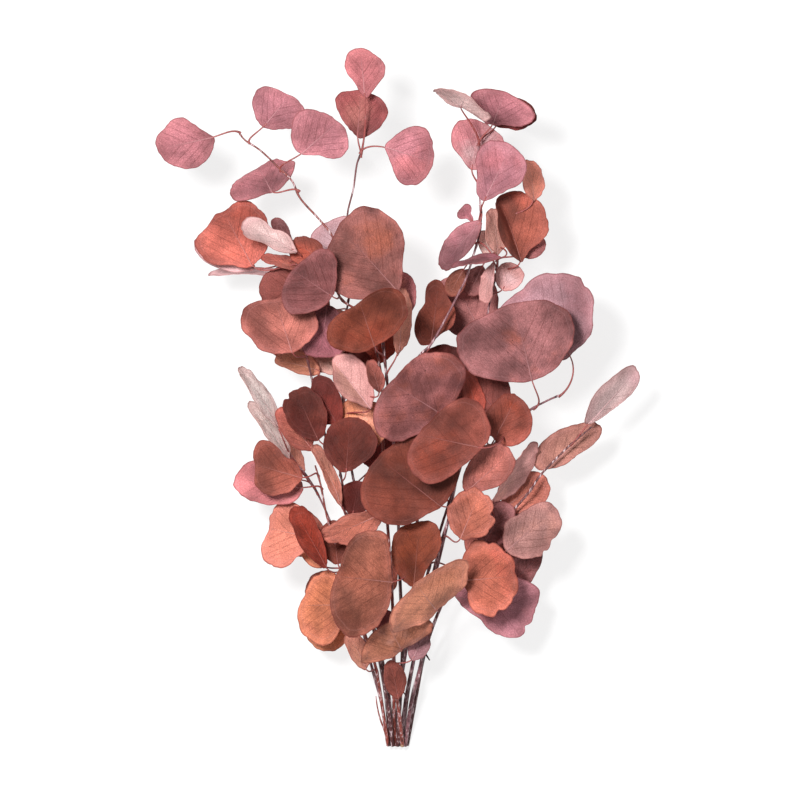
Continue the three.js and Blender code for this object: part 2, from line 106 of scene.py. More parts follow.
def added(tree, first, second):
    return addNode(tree, "ShaderNodeVectorMath", {0: first, 1: second}, operation="ADD").outputs[0]


def carried(tree, name, dataType="FLOAT"):  # a number or vector that each point has
    node = addNode(tree, "GeometryNodeInputNamedAttribute", {"Name": name}, data_type=dataType)
    return Field(tree, node.outputs["Attribute"])


def finished(tree, geometry, material):  # smooth, with its instances made real and its material on
    geometry = addNode(tree, "GeometryNodeSetShadeSmooth", {"Geometry": geometry, "Shade Smooth": True})
    geometry = addNode(tree, "GeometryNodeRealizeInstances", {"Geometry": geometry.outputs[0]})
    return addNode(tree, "GeometryNodeSetMaterial", {
        "Geometry": geometry.outputs[0], "Material": material}).outputs[0]


def setInputs(modifier, values):  # named inputs, set by their identifiers
    for item in modifier.node_group.interface.items_tree:
        if item.item_type == "SOCKET" and item.in_out == "INPUT" and item.name in values:
            modifier[item.identifier] = values[item.name]


def dropEmptySlots(mesh):
    slots = list(mesh.materials)
    real = [material for material in slots if material]
    old = np.zeros(len(mesh.polygons), dtype=np.int32)
    mesh.polygons.foreach_get("material_index", old)
    mesh.materials.clear()
    for material in real:
        mesh.materials.append(material)
    places = np.array([real.index(material) if material else 0 for material in slots], dtype=np.int32)
    mesh.polygons.foreach_set("material_index", places[old])


def bake(name, mesh, tree, values):  # runs a tree on a mesh and keeps the result as a plain object
    source = bpy.data.objects.new(name + "_source", mesh)
    bpy.context.collection.objects.link(source)
    modifier = source.modifiers.new(tree.name, "NODES")
    modifier.node_group = tree
    setInputs(modifier, values)
    evaluated = source.evaluated_get(bpy.context.evaluated_depsgraph_get())
    result = bpy.data.meshes.new_from_object(evaluated)
    source.modifiers.clear()
    bpy.data.objects.remove(source)
    bpy.data.meshes.remove(mesh)
    result.name = name
    dropEmptySlots(result)
    piece = bpy.data.objects.new(name, result)
    bpy.context.collection.objects.link(piece)
    return piece


def pointMesh(name, points, edges, attributes):  # attributes are {name: (data type, one value a point)}
    mesh = bpy.data.meshes.new(name)
    mesh.from_pydata([tuple(point) for point in points], edges, [])
    for title, (dataType, values) in attributes.items():
        slotName = {"FLOAT": "value", "FLOAT_VECTOR": "vector", "FLOAT_COLOR": "color"}[dataType]
        layer = mesh.attributes.new(title, dataType, "POINT")
        layer.data.foreach_set(slotName, np.array(values, dtype=np.float32).ravel())
    return mesh


toneStrength = 0.8  # the studio lights a leaf more than even light does, so each tone is taken down

leafTones = {
    "rose": (190, 122, 131), "dustyRose": (182, 114, 121), "orchid": (197, 132, 143),
    "coralPink": (208, 123, 127), "rosePink": (210, 132, 139), "mauvePink": (184, 110, 117),
    "berry": (160, 97, 107), "mauve": (167, 114, 121), "paleMauve": (181, 136, 144),
    "plum": (160, 98, 97), "palePlum": (178, 116, 114), "brownMauve": (144, 93, 94),
    "greyMauve": (157, 113, 108), "lilac": (214, 176, 182), "blush": (234, 194, 196),
    "chalk": (250, 212, 208), "parchment": (230, 196, 194), "brownRose": (148, 91, 85),
    "roseBrown": (181, 105, 94), "mulberry": (134, 78, 78), "rust": (174, 80, 62),
    "rustBrown": (159, 85, 70), "redBrown": (146, 75, 62), "darkRust": (130, 58, 42),
    "umber": (138, 72, 61), "hazel": (160, 95, 77), "darkHazel": (144, 78, 60),
    "chestnut": (118, 58, 45), "wine": (126, 56, 56), "crimson": (118, 28, 22),
    "oxblood": (108, 38, 31), "darkBrown": (98, 42, 33), "ebony": (78, 26, 22),
    "tobacco": (134, 67, 50), "terracotta": (192, 106, 85), "coralRed": (202, 108, 94),
    "orangeRust": (194, 92, 76), "coral": (214, 130, 112), "clay": (204, 116, 94),
    "orange": (219, 131, 96), "brightOrange": (246, 158, 118), "salmon": (238, 144, 122),
    "paleSalmon": (248, 184, 168), "camel": (222, 146, 117), "caramel": (200, 126, 98),
    # peach, apricot and bone are paler than the leaves that wear them: painted light for leaves that lie in
    # shade
    "tan": (204, 149, 137), "paleTan": (240, 192, 178), "peach": (254, 172, 148),
    "apricot": (254, 196, 160), "bone": (254, 236, 230), "fawn": (187, 130, 117),
    "madder": (154, 79, 80), "sienna": (148, 58, 43), "oldRose": (188, 112, 100),
    "walnut": (118, 56, 36), "sepia": (124, 66, 60), "shell": (226, 166, 161),
}


def paint(colour, strength=toneStrength):  # from screen values out of 255 to what a socket takes
    return [((part / 255 + 0.055) / 1.055) ** 2.4 * strength for part in colour] + [1]


def mixed(first, second, share):
    return [a * (1 - share) + b * share for a, b in zip(first, second)]


leafHabit = {  # what a leaf has unless its row says otherwise
    "fold": 8, "arch": 12,  # how far it folds along the midrib and bends down to its tip, in degrees
    "notch": 0, "wedge": 0.3, "broad": -0.06, "lean": 0, "heart": 0,  # the outline, in shares of its size
    "wave": 0.02, "crimp": 0.01, "speckle": 0.3, "blotch": 0.85,
    "half": 0,  # 1 or -1 puts the other tone on the right or left half
    "scallops": (0, 0),  # how many rounded lobes the edge has and how deep they are
    "nick": (0, 0),  # where the edge is torn in, in degrees clockwise from the tip, and how deep
    "swell": (1, 1, 1, 1, 1, 1, 1, 1),  # how far the edge stands out round it, clockwise from the tip
}


def leaf(base, turn, size, tone, otherTone, **habit):
    row = dict(leafHabit, base=base, heading=turn[0], pitch=turn[1], roll=turn[2])
    return dict(row, long=size[0], wide=size[1], tone=tone, otherTone=otherTone, **habit)


# A row for each stem: its radii at the foot and the tip, its route from the cut end up, its bare twigs
# and its leaves, in mm and degrees. A leaf has its base, its heading, pitch and roll, its length and
# width, its two tones and whatever differs from the habit.
bunch = [
    {"node": "stem_1", "girth": (1.8, 0.8), "bark": "red", "route": [
        (-4.3, -280, 6.2), (-5, -240, 20), (-5, -192, 36), (-8, -128, 54), (-12, -72, 66), (-14, -24, 75),
        (-15, 20, 84), (-22, 48, 92), (-32, 70, 99), (-46, 80, 104), (-51, 90, 106), (-50, 111, 106),
        (-54, 131, 106), (-64, 144, 105), (-80, 162, 104), (-86, 175, 104), (-96, 185, 105),
        (-112, 200, 106), (-124, 208, 107), (-128, 213, 108)],
     "leaves": [
        leaf((-149, 210, 106), (192, -4, 0), (46, 42), "dustyRose", "rose",
             fold=5, wedge=0.35, swell=(1.07, 0.97, 0.96, 0.8, 1, 1.12, 1.02, 0.9)),
        leaf((-109, 218, 108), (50, 10, 0), (39, 45), "rose", "orchid",
             wedge=0.2, swell=(0.72, 0.95, 0.95, 0.84, 1, 1.03, 1.03, 0.75)),
        leaf((-79, 196, 116), (41, 6, 0), (43, 50), "rose", "dustyRose",
             notch=0.05, swell=(0.91, 0.9, 0.93, 0.71, 1, 1.08, 1.05, 0.83)),
        leaf((-102, 166, 98), (118, -50, 0), (46, 57), "dustyRose", "mauve",
             fold=6, swell=(0.92, 0.81, 0.94, 1.13, 1, 1.14, 1.05, 0.91), speckle=0.5),
        leaf((-53, 82, 134), (146, 2, 0), (45, 62), "mulberry", "brownMauve",
             fold=6, swell=(0.75, 0.77, 0.98, 0.92, 1, 0.96, 0.97, 0.85)),
        leaf((-58, 77, 106), (262, -14, 0), (46, 42), "berry", "mulberry", fold=14),
    ]},
    {"node": "stem_2", "girth": (1.95, 0.8), "bark": "dark", "route": [
        (-2, -280, 10.3), (-0.5, -252, 24.5), (2, -200, 44), (0, -144, 60), (-2, -80, 74), (-6, -24, 89),
        (-10, 12, 100), (-13, 40, 106), (-17, 72, 107), (-30, 111, 104), (-42, 143, 102), (-37, 170, 104),
        (-34, 190, 106), (-31, 197, 107)],
     "leaves": [
        leaf((-28, 241, 118), (95, 4, 0), (40, 35), "coralPink", "rosePink",
             fold=6, wedge=0.5, broad=-0.15, swell=(1, 0.91, 1.05, 0.97, 1, 0.68, 0.7, 0.92)),
        leaf((-34, 210, 104), (86, -6, 0), (41, 45), "madder", "brownRose",
             fold=16, wedge=0.4,
             swell=(0.88, 0.91, 1.05, 1.07, 1, 0.77, 0.83, 0.98), scallops=(6, 0.03)),
        leaf((-12, 202, 110), (-17, 4, 0), (40, 49), "rose", "coralPink",
             fold=6, wedge=0.4, broad=-0.15, swell=(0.99, 1, 0.97, 0.82, 1, 0.99, 1, 0.91)),
        leaf((-1, 86, 120), (132, 0, 0), (70, 78), "brownRose", "darkHazel",
             fold=6, wave=0.03, swell=(1.06, 1.07, 0.89, 0.79, 1, 0.92, 0.98, 0.9)),
        leaf((-20, 42, 132), (108, 28, 4), (54, 76), "tobacco", "darkRust",
             fold=16, swell=(0.55, 0.98, 0.97, 0.92, 1, 1, 0.93, 0.67), speckle=0.8),
        leaf((-12, 60, 88), (78, 0, 0), (46, 42), "coralPink", "coral", fold=6),
        leaf((-2, 36, 107), (80, 2, 62), (54, 30), "peach", "salmon", fold=6),
    ]},
    {"node": "stem_3", "girth": (1.75, 0.8), "bark": "dark", "route": [
        (-8.2, -280, 6.2), (-11.5, -240, 15), (-20, -192, 29), (-32, -128, 46), (-50, -72, 58),
        (-61, -24, 68), (-71, 19, 80), (-75, 40, 85), (-73, 62, 90), (-68, 84, 92), (-70, 104, 93),
        (-78, 116, 94)],
     "leaves": [
        leaf((-118, 107, 86), (118, 2, 0), (54, 64), "coralRed", "orangeRust",
             fold=10, notch=0.04, wave=0.03,
             swell=(0.95, 0.98, 0.9, 0.95, 1, 0.88, 1.08, 0.97), crimp=0.012, scallops=(7, 0.06)),
        leaf((-83, 119, 108), (150, 8, 40), (48, 34), "chalk", "blush",
             fold=18, swell=(1, 0.96, 0.5, 0.9, 1, 0.95, 0.7, 0.98), scallops=(6, 0.07)),
        leaf((-84, 122, 84), (122, -4, 20), (32, 15), "brownMauve", "wine",
             fold=10, swell=(0.85, 0.8, 0.6, 0.6, 1, 1, 1, 1)),
        leaf((-62, 112, 99), (146, 0, 0), (32, 28), "redBrown", "rust",
             fold=10, swell=(0.8, 0.7, 0.75, 1, 1, 1, 1, 0.9)),
        leaf((-80, 105, 92), (159, 0, 66), (33, 26), "coralRed", "coral", scallops=(6, 0.07)),
        leaf((-84, 103, 56), (174, 0, 74), (70, 24), "blush", "lilac",
             fold=4, swell=(1, 0.8, 0.6, 0.8, 1, 1.1, 1.5, 1.3)),
        leaf((-116, 106, 76), (157, 0, 0), (54, 24), "blush", "lilac"),
        leaf((-66, 88, 84), (180, -2, 0), (47, 42), "sepia", "umber"),
        leaf((-86, 38, 112), (108, 2, 0), (48, 68), "roseBrown", "oldRose",
             notch=0.04, swell=(1, 0.85, 0.8, 1.02, 1, 1, 0.89, 1.1), speckle=0.5, scallops=(7, 0.05)),
        leaf((-64, 24, 68), (163, -4, 46), (42, 30), "camel", "caramel",
             swell=(0.8, 0.95, 0.95, 1, 1, 1, 0.65, 0.68)),
    ]},
    {"node": "stem_4", "girth": (1.95, 0.8), "bark": "mauve", "route": [
        (-2.3, -280, 2), (-1, -240, 11), (5, -200, 25), (12, -144, 44), (14, -80, 60), (12, -24, 76),
        (12, 12, 88), (16, 36, 94), (24, 44, 96), (40, 72, 96), (46, 84, 96), (53, 98, 96), (58, 114, 96),
        (64, 136, 97), (64, 160, 98), (62, 184, 99), (63, 204, 100)],
     "leaves": [
        leaf((48, 233, 118), (62, 80, 0), (36, 50), "chalk", "blush", fold=6, wedge=0.3),
        leaf((74, 220, 102), (70, 42, 0), (34, 58), "rose", "mauve",
             fold=12, swell=(0.97, 1.15, 0.95, 0.85, 1, 0.85, 0.8, 0.97)),
        leaf((77, 219, 92), (70, 34, 0), (32, 54), "wine", "darkBrown",
             fold=6, swell=(0.9, 1.1, 1, 1, 1, 1, 1, 0.85), scallops=(7, 0.05)),
        leaf((57, 185, 90), (78, -2, 0), (43, 46), "rosePink", "blush",
             fold=20, swell=(0.88, 0.8, 1.05, 1, 1, 0.88, 1, 0.97)),
        leaf((67, 159, 116), (64, 8, -8), (46, 50), "orchid", "mauvePink",
             fold=20, wedge=0.4, swell=(1.12, 1.08, 0.8, 0.73, 1, 0.82, 0.75, 1.12)),
        leaf((65, 143, 100), (225, -4, 46), (50, 30), "mauve", "berry", fold=10),
        leaf((58, 143, 90), (125, 0, 0), (15, 14), "berry", "mauve",
             swell=(1, 1.1, 0.6, 0.6, 1, 0.6, 0.95, 1.05)),
        leaf((75, 110, 106), (252, -6, 54), (34, 28), "shell", "blush",
             swell=(1, 0.9, 0.65, 0.85, 1, 0.7, 0.6, 0.9)),
        leaf((51, 105, 88), (240, -10, 0), (25, 16), "hazel", "darkRust"),
        leaf((25, 45, 84), (83, -2, 0), (54, 38), "chestnut", "darkBrown",
             fold=14, swell=(0.92, 0.62, 0.9, 0.87, 1, 1.2, 0.62, 0.68)),
        leaf((33, -11, 116), (148, 30, 0), (60, 86), "plum", "rustBrown",
             fold=6, wave=0.04, heart=0.06,
             swell=(0.76, 0.83, 0.98, 1.28, 1, 0.92, 0.96, 0.98), speckle=0.9),
    ]},
    {"node": "stem_5", "girth": (2.1, 0.9), "bark": "mauve", "route": [
        (4, -280, 6.3), (10, -240, 27), (17, -212, 40), (22, -176, 54), (25, -148, 64), (32, -118, 74),
        (39, -96, 80), (50, -76, 86), (60, -56, 90), (70, -41, 92), (80, -30, 93), (102, -9, 92),
        (116, -1, 90), (127, 4, 88)],
     "twigs": [
        [(9.3, -246, 24.5), (8, -249, 26.5), (6.4, -250.5, 27.5)],
     ],
     "leaves": [
        leaf((105, 16, 116), (103, 0, 0), (65, 94), "brownMauve", "rustBrown",
             fold=6, wave=0.03, wedge=0.15, lean=-0.06,
             swell=(0.94, 1, 0.97, 0.98, 1, 1.03, 1.09, 1.03), speckle=0.9, blotch=0.8),
        leaf((136, 36, 94), (130, 0, 0), (64, 84), "paleMauve", "mauve",
             wave=0.05, wedge=0.15,
             swell=(1.1, 1.13, 1.12, 1.12, 1, 0.95, 0.95, 1.15), crimp=0.014, scallops=(9, 0.05)),
        leaf((75, -32, 100), (62, -4, 0), (48, 44), "redBrown", "darkRust",
             fold=18, swell=(0.7, 0.72, 1.03, 1.25, 1, 1, 0.7, 0.68)),
        leaf((62, -20, 88), (97, 0, 50), (45, 26), "orangeRust", "crimson"),
        leaf((80, -14, 80), (125, -4, 0), (42, 44), "sepia", "wine"),
        leaf((66, -38, 132), (168, 4, 0), (60, 68), "umber", "darkRust",
             wave=0.03, lean=0.1, swell=(0.77, 0.62, 0.88, 1.25, 1, 0.85, 1.14, 1.17)),
        leaf((32, -84, 112), (142, 6, 0), (65, 80), "chestnut", "darkBrown",
             wave=0.03, swell=(0.95, 0.97, 1.05, 1.25, 1, 1, 1, 1.03)),
        leaf((53, -73, 102), (42, 6, 0), (48, 36), "roseBrown", "palePlum",
             fold=14, swell=(1.03, 0.93, 0.78, 0.8, 1, 1, 1, 1.1)),
        leaf((48, -111, 110), (68, 6, 0), (42, 37), "clay", "coral",
             notch=0.05, swell=(1.08, 1, 1.1, 1, 1, 1, 1, 1), nick=(68, 0.2), scallops=(8, 0.09)),
        leaf((30, -169, 94), (127, 56, 0), (46, 76), "camel", "caramel",
             swell=(1, 1.3, 1, 0.98, 1, 1, 1, 1), scallops=(7, 0.04)),
    ]},
    {"node": "stem_6", "girth": (1.95, 0.8), "bark": "dark", "route": [
        (5.7, -280, 2), (13, -240, 11), (20, -204, 22), (29, -176, 34), (42, -148, 46), (56, -129, 54),
        (72, -112, 61), (84, -96, 65), (104, -73, 70), (112, -61, 71), (132, -40, 71), (154, -21, 71)],
     "twigs": [
        [(20, -204, 22.5), (22, -207, 25), (24, -210, 26.5)],
     ],
     "leaves": [
        leaf((151, -19, 71), (45, 0, 38), (60, 36), "parchment", "lilac",
             fold=10, wedge=0.3, swell=(1, 0.8, 0.5, 0.6, 1, 1.15, 1.05, 1), crimp=0.012),
        leaf((116, -56, 62), (40, 0, 0), (58, 32), "fawn", "caramel",
             fold=12, swell=(1, 0.82, 0.5, 0.7, 1, 1.4, 1.1, 0.9), crimp=0.016),
        leaf((74, -80, 78), (48, 2, 58), (60, 30), "shell", "paleSalmon",
             swell=(0.95, 1, 1.2, 1.15, 1, 0.8, 0.9, 0.9), crimp=0.02),
        leaf((82, -87, 56), (32, 0, 0), (44, 32), "coral", "rustBrown", fold=10),
        leaf((85, -121, 82), (42, 0, 0), (50, 54), "greyMauve", "fawn",
             swell=(1.16, 0.87, 0.8, 0.97, 1, 0.85, 0.62, 0.72), nick=(98, 0.12), scallops=(7, 0.04)),
        leaf((50, -144, 94), (5, 4, 0), (44, 62), "terracotta", "orangeRust",
             notch=0.03,
             swell=(1.03, 0.95, 1, 1.1, 1, 1.2, 1, 0.9), nick=(80, 0.06), scallops=(9, 0.08)),
        leaf((45, -158, 66), (-13, -2, 0), (69, 50), "orchid", "mauvePink",
             wave=0.03, swell=(0.88, 1, 0.82, 0.72, 1, 1, 1, 1.15), nick=(28, 0.1), scallops=(8, 0.04)),
        leaf((84, -153, 50), (45, 0, 0), (44, 26), "brownMauve", "wine",
             fold=10, swell=(0.98, 0.72, 0.8, 1, 1, 1, 1, 1)),
        leaf((80, -108, 42), (20, -4, 0), (38, 38), "mauve", "umber"),
        leaf((66, -118, 72), (62, 0, 0), (42, 30), "brownMauve", "ebony"),
    ]},
    {"node": "stem_7", "girth": (1.95, 0.9), "bark": "red", "route": [
        (2, -280, 10.8), (-1, -250, 33), (-6, -214, 54), (0, -184, 64), (10, -152, 76), (12, -128, 82),
        (10, -106, 86)],
     "leaves": [
        leaf((-6, -145, 110), (173, 26, 0), (56, 88), "hazel", "darkHazel",
             wave=0.03, swell=(0.75, 0.78, 0.94, 1.03, 1, 1.1, 1.08, 1), scallops=(6, 0.03)),
        leaf((-12, -89, 101), (207, -4, -46), (54, 34), "salmon", "coral", crimp=0.02, scallops=(7, 0.1)),
        leaf((11, -149, 98), (85, 2, 0), (53, 42), "walnut", "darkRust",
             fold=12, swell=(1, 1.1, 0.78, 0.72, 1, 1, 1, 1)),
        leaf((2, -201, 74), (119, 46, 0), (34, 66), "caramel", "tan"),
        leaf((-8, -192, 68), (98, 0, 0), (24, 20), "mauvePink", "rose", scallops=(7, 0.07)),
        leaf((10, -209, 62), (66, 0, 0), (25, 18), "paleMauve", "mauve"),
        leaf((-1, -240, 63), (100, 8, 44), (32, 24), "umber", "wine"),
    ]},
    {"node": "stem_8", "girth": (1.75, 0.8), "bark": "red", "route": [
        (-9.6, -280, 10.3), (-14, -250, 21), (-20, -214, 35), (-27, -192, 43), (-38, -160, 53),
        (-48, -128, 60), (-58, -96, 68), (-64, -66, 76), (-68, -52, 80)],
     "twigs": [
        [(-10.2, -276, 11.6), (-13, -266, 15), (-16, -258, 19), (-18.5, -247, 22), (-19.5, -239, 23)],
     ],
     "leaves": [
        leaf((-39, -164, 66), (181, 0, 0), (44, 58), "orange", "clay",
             swell=(0.92, 0.75, 0.98, 1, 1, 1, 1.07, 1.1), speckle=0.6, scallops=(5, 0.06)),
        leaf((-40, -178, 40), (205, -2, 0), (38, 40), "brightOrange", "orange",
             swell=(0.97, 1, 1, 1, 1, 0.9, 0.8, 0.86)),
        leaf((-27, -217, 53), (112, 0, 48), (34, 24), "peach", "apricot"),
        leaf((-70, -110, 76), (168, 0, 0), (41, 54), "salmon", "coral",
             notch=0.13, swell=(1, 0.98, 0.95, 0.9, 1, 1, 1.1, 1.12), speckle=0.5, scallops=(7, 0.09)),
        leaf((-59, -134, 86), (116, 2, 42), (54, 30), "sienna", "crimson",
             fold=10, swell=(1.05, 1.05, 0.75, 0.8, 1, 1, 1, 1)),
        leaf((-61, -134, 56), (137, 0, 30), (24, 16), "brightOrange", "salmon"),
        leaf((-50, -132, 64), (96, 0, 0), (36, 26), "chestnut", "ebony"),
        leaf((-78, -70, 84), (172, 0, 0), (56, 38), "coralPink", "coral",
             swell=(1, 0.95, 1, 1, 1, 1.08, 0.92, 0.97), scallops=(6, 0.05)),
        leaf((-78, -62, 98), (164, 2, 0), (43, 50), "rustBrown", "darkRust",
             fold=10, notch=0.07,
             swell=(0.95, 1.15, 0.6, 0.75, 1, 0.93, 0.84, 0.85), scallops=(8, 0.05)),
    ]},
    {"node": "stem_9", "girth": (1.75, 0.8), "bark": "dark", "route": [
        (-5.9, -280, 10.3), (-9.5, -248, 28), (-15, -216, 43), (-22, -176, 55), (-30, -136, 64),
        (-40, -96, 72), (-46, -68, 78), (-50, -40, 82), (-47, -16, 84), (-44, 4, 84)],
     "twigs": [
        [(-15, -214, 43.5), (-10, -220, 45), (-3, -227, 45), (4.8, -238, 44)],
     ],
     "leaves": [
        leaf((-65, -32, 104), (115, 4, 0), (45, 32), "darkBrown", "ebony",
             fold=10, swell=(1, 1.05, 1, 1, 1, 1, 1, 1.1), nick=(-28, 0.12), scallops=(9, 0.04)),
        leaf((-70, -39, 92), (128, 0, 36), (42, 28), "coralRed", "coral",
             swell=(1.02, 1, 1, 1, 1, 1.15, 1.05, 0.92)),
        leaf((-43, -58, 106), (86, 2, 0), (46, 44), "darkBrown", "ebony",
             swell=(0.96, 0.98, 1.02, 0.94, 1, 0.97, 0.9, 0.88)),
        leaf((-38, -44, 88), (76, 0, 0), (48, 40), "brightOrange", "peach",
             fold=6, swell=(1, 1, 1.1, 1, 1, 1, 1, 1)),
        leaf((-24, -6, 108), (126, 0, 20), (52, 38), "shell", "tan",
             fold=22, swell=(0.87, 1, 0.9, 0.92, 1, 0.85, 0.85, 0.7), half=-1, scallops=(6, 0.06)),
        leaf((-50, -20, 94), (118, 0, 0), (43, 28), "oxblood", "wine",
             swell=(0.95, 1.08, 1, 1, 1, 1, 1, 0.75)),
        leaf((-22, 12, 80), (130, -4, 0), (36, 28), "oxblood", "ebony"),
        leaf((-16, 6, 118), (104, 0, 50), (28, 20), "roseBrown", "rustBrown", fold=6),
        leaf((-38, -92, 82), (80, 4, 0), (28, 26), "ebony", "ebony"),
        leaf((-47, -84, 96), (109, 2, 64), (54, 24), "peach", "salmon", fold=6),
    ]},
    {"node": "stem_10", "girth": (1.6, 0.8), "bark": "mauve", "route": [
        (-9.9, -280, 2), (-14.5, -248, 7), (-25, -208, 15), (-36, -160, 27), (-48, -120, 38),
        (-62, -84, 48), (-74, -62, 56), (-84, -50, 60)],
     "leaves": [
        leaf((-97, -22, 92), (117, 0, 66), (58, 32), "bone", "blush", fold=4),
        leaf((-88, -48, 74), (120, 0, 64), (58, 30), "bone", "paleTan", fold=4),
        leaf((-77, -60, 50), (120, 0, 60), (50, 30), "peach", "salmon", fold=4),
        leaf((-62, -104, 34), (186, -18, 0), (42, 40), "coral", "orange"),
        leaf((-80, -64, 40), (178, -12, 0), (44, 38), "rustBrown", "rust"),
        leaf((-40, -152, 18), (195, -6, 0), (38, 38), "hazel", "rust"),
    ]},
    {"node": "stem_11", "girth": (1.75, 0.8), "bark": "mauve", "route": [
        (-0.3, -280, 6.2), (5, -240, 18), (14, -196, 33), (26, -150, 47), (38, -100, 57), (48, -50, 61),
        (58, 0, 66), (66, 46, 73), (73, 84, 80), (78, 106, 84), (77, 122, 86), (75, 138, 88)],
     "leaves": [
        leaf((107, 159, 96), (93, 2, 56), (34, 32), "salmon", "peach"),
        leaf((97, 111, 95), (106, 2, 36), (56, 58), "rustBrown", "rust",
             fold=36, swell=(0.95, 1.05, 1.12, 0.95, 1, 1, 1.05, 0.78), scallops=(7, 0.05)),
        leaf((96, 116, 84), (34, 0, 0), (24, 18), "plum", "berry"),
        leaf((78, 116, 98), (92, 2, 50), (38, 30), "paleSalmon", "blush"),
        leaf((82, 114, 122), (184, -2, 72), (42, 24), "berry", "mulberry", fold=4),
        leaf((74, 114, 80), (102, 0, 20), (24, 20), "bone", "paleSalmon"),
        leaf((66, 108, 74), (246, -4, 0), (26, 20), "palePlum", "crimson"),
        leaf((82, 88, 90), (64, 0, 0), (24, 23), "shell", "blush"),
    ]},
    {"node": "stem_12", "girth": (1.75, 0.9), "bark": "dark", "route": [
        (-6.3, -280, 2), (-9, -240, 6), (-16, -200, 11), (-20, -150, 22), (-30, -100, 32), (-40, -50, 40),
        (-46, 0, 44), (-46, 50, 44), (-40, 90, 44)],
     "leaves": [
        leaf((-58, 74, 11), (158, -22, 0), (56, 50), "rustBrown", "umber", fold=3, wave=0.01),
        leaf((-36, 96, 48), (112, 4, 0), (54, 54), "lilac", "paleMauve"),
        leaf((-52, 20, 52), (98, 2, 0), (54, 52), "paleTan", "hazel"),
        leaf((-24, -56, 48), (60, 6, 0), (58, 54), "wine", "chestnut"),
        leaf((-20, -112, 10), (268, -8, 0), (52, 40), "hazel", "rust"),
        leaf((-66, 52, 46), (170, -6, 0), (46, 46), "rust", "wine"),
        leaf((0, -60, 30), (110, 0, 0), (56, 52), "chestnut", "darkBrown"),
        leaf((-16, 30, 58), (100, 4, 0), (46, 44), "rust", "crimson"),
    ]},
    {"node": "stem_13", "girth": (1.75, 0.9), "bark": "dark", "route": [
        (1.7, -280, 2), (6, -240, 6), (13, -200, 12), (20, -150, 24), (34, -100, 34), (50, -50, 42),
        (62, 0, 44), (68, 44, 42)],
     "leaves": [
        leaf((80, 40, 11), (24, -22, 0), (58, 54), "brownRose", "wine", fold=3, wave=0.01),
        leaf((66, 52, 50), (116, 6, 0), (56, 54), "palePlum", "crimson"),
        leaf((40, -10, 60), (100, 0, 0), (56, 54), "ebony", "ebony"),
        leaf((56, -96, 34), (318, -12, 0), (54, 50), "roseBrown", "rust"),
        leaf((88, 24, 62), (52, 4, 0), (50, 50), "rustBrown", "chestnut"),
        leaf((52, -140, 14), (345, -4, 0), (48, 44), "mauvePink", "wine"),
    ]},
]

leafSettings = {  # the named inputs of the leaves' tree
    "Grid points": 33,  # along each side of a blade's square, odd so that one line is the midrib
    "Thickness": 0.5 * mm,
    "Ripple": 2.4 * mm,  # height of the uneven dents that drying leaves
    "Ripple size": 17 * mm,
    "Unevenness": 0.13,  # of the outline, as a share of the blade's size
    "Lobe spacing": 0.62,  # how far apart the bulges of the outline are, in radians
    "Rib points": 22,
    "Rib radius": 0.52 * mm,
    "Rib sides": 6,
    "Seed": 11,
}
outlineReach = {  # how far round the edge each of these reaches, in radians
    "wedge": 0.8, "notch": 0.3, "heart": 1.1, "cusp": 0.35, "nick": 0.11,
}
crease = 1.5 * mm  # the fold is rounded over this much of the midrib
tableTop = 0.0


def leafAxes(row):  # across the blade, along its midrib and out of its upper face
    heading, pitch, roll = (math.radians(row[name]) for name in ("heading", "pitch", "roll"))
    level = Vector((math.sin(heading), -math.cos(heading), 0))
    flat = math.cos(pitch)
    along = Vector((math.cos(heading) * flat, math.sin(heading) * flat, math.sin(pitch)))
    across = level * math.cos(roll) + along.cross(level) * math.sin(roll)
    return across, along, across.cross(along)


def edgeWaves(swell):  # the smooth curve through the eight values round an edge, as a sum of waves
    turns = [math.tau * i / len(swell) for i in range(len(swell))]
    cosines = [sum(v * math.cos(k * turn) for v, turn in zip(swell, turns)) / 4 for k in (1, 2, 3)]
    sines = [sum(v * math.sin(k * turn) for v, turn in zip(swell, turns)) / 4 for k in (1, 2, 3)]
    four = sum(v * math.cos(4 * turn) for v, turn in zip(swell, turns)) / 8
    return sum(swell) / 8, cosines, sines, four


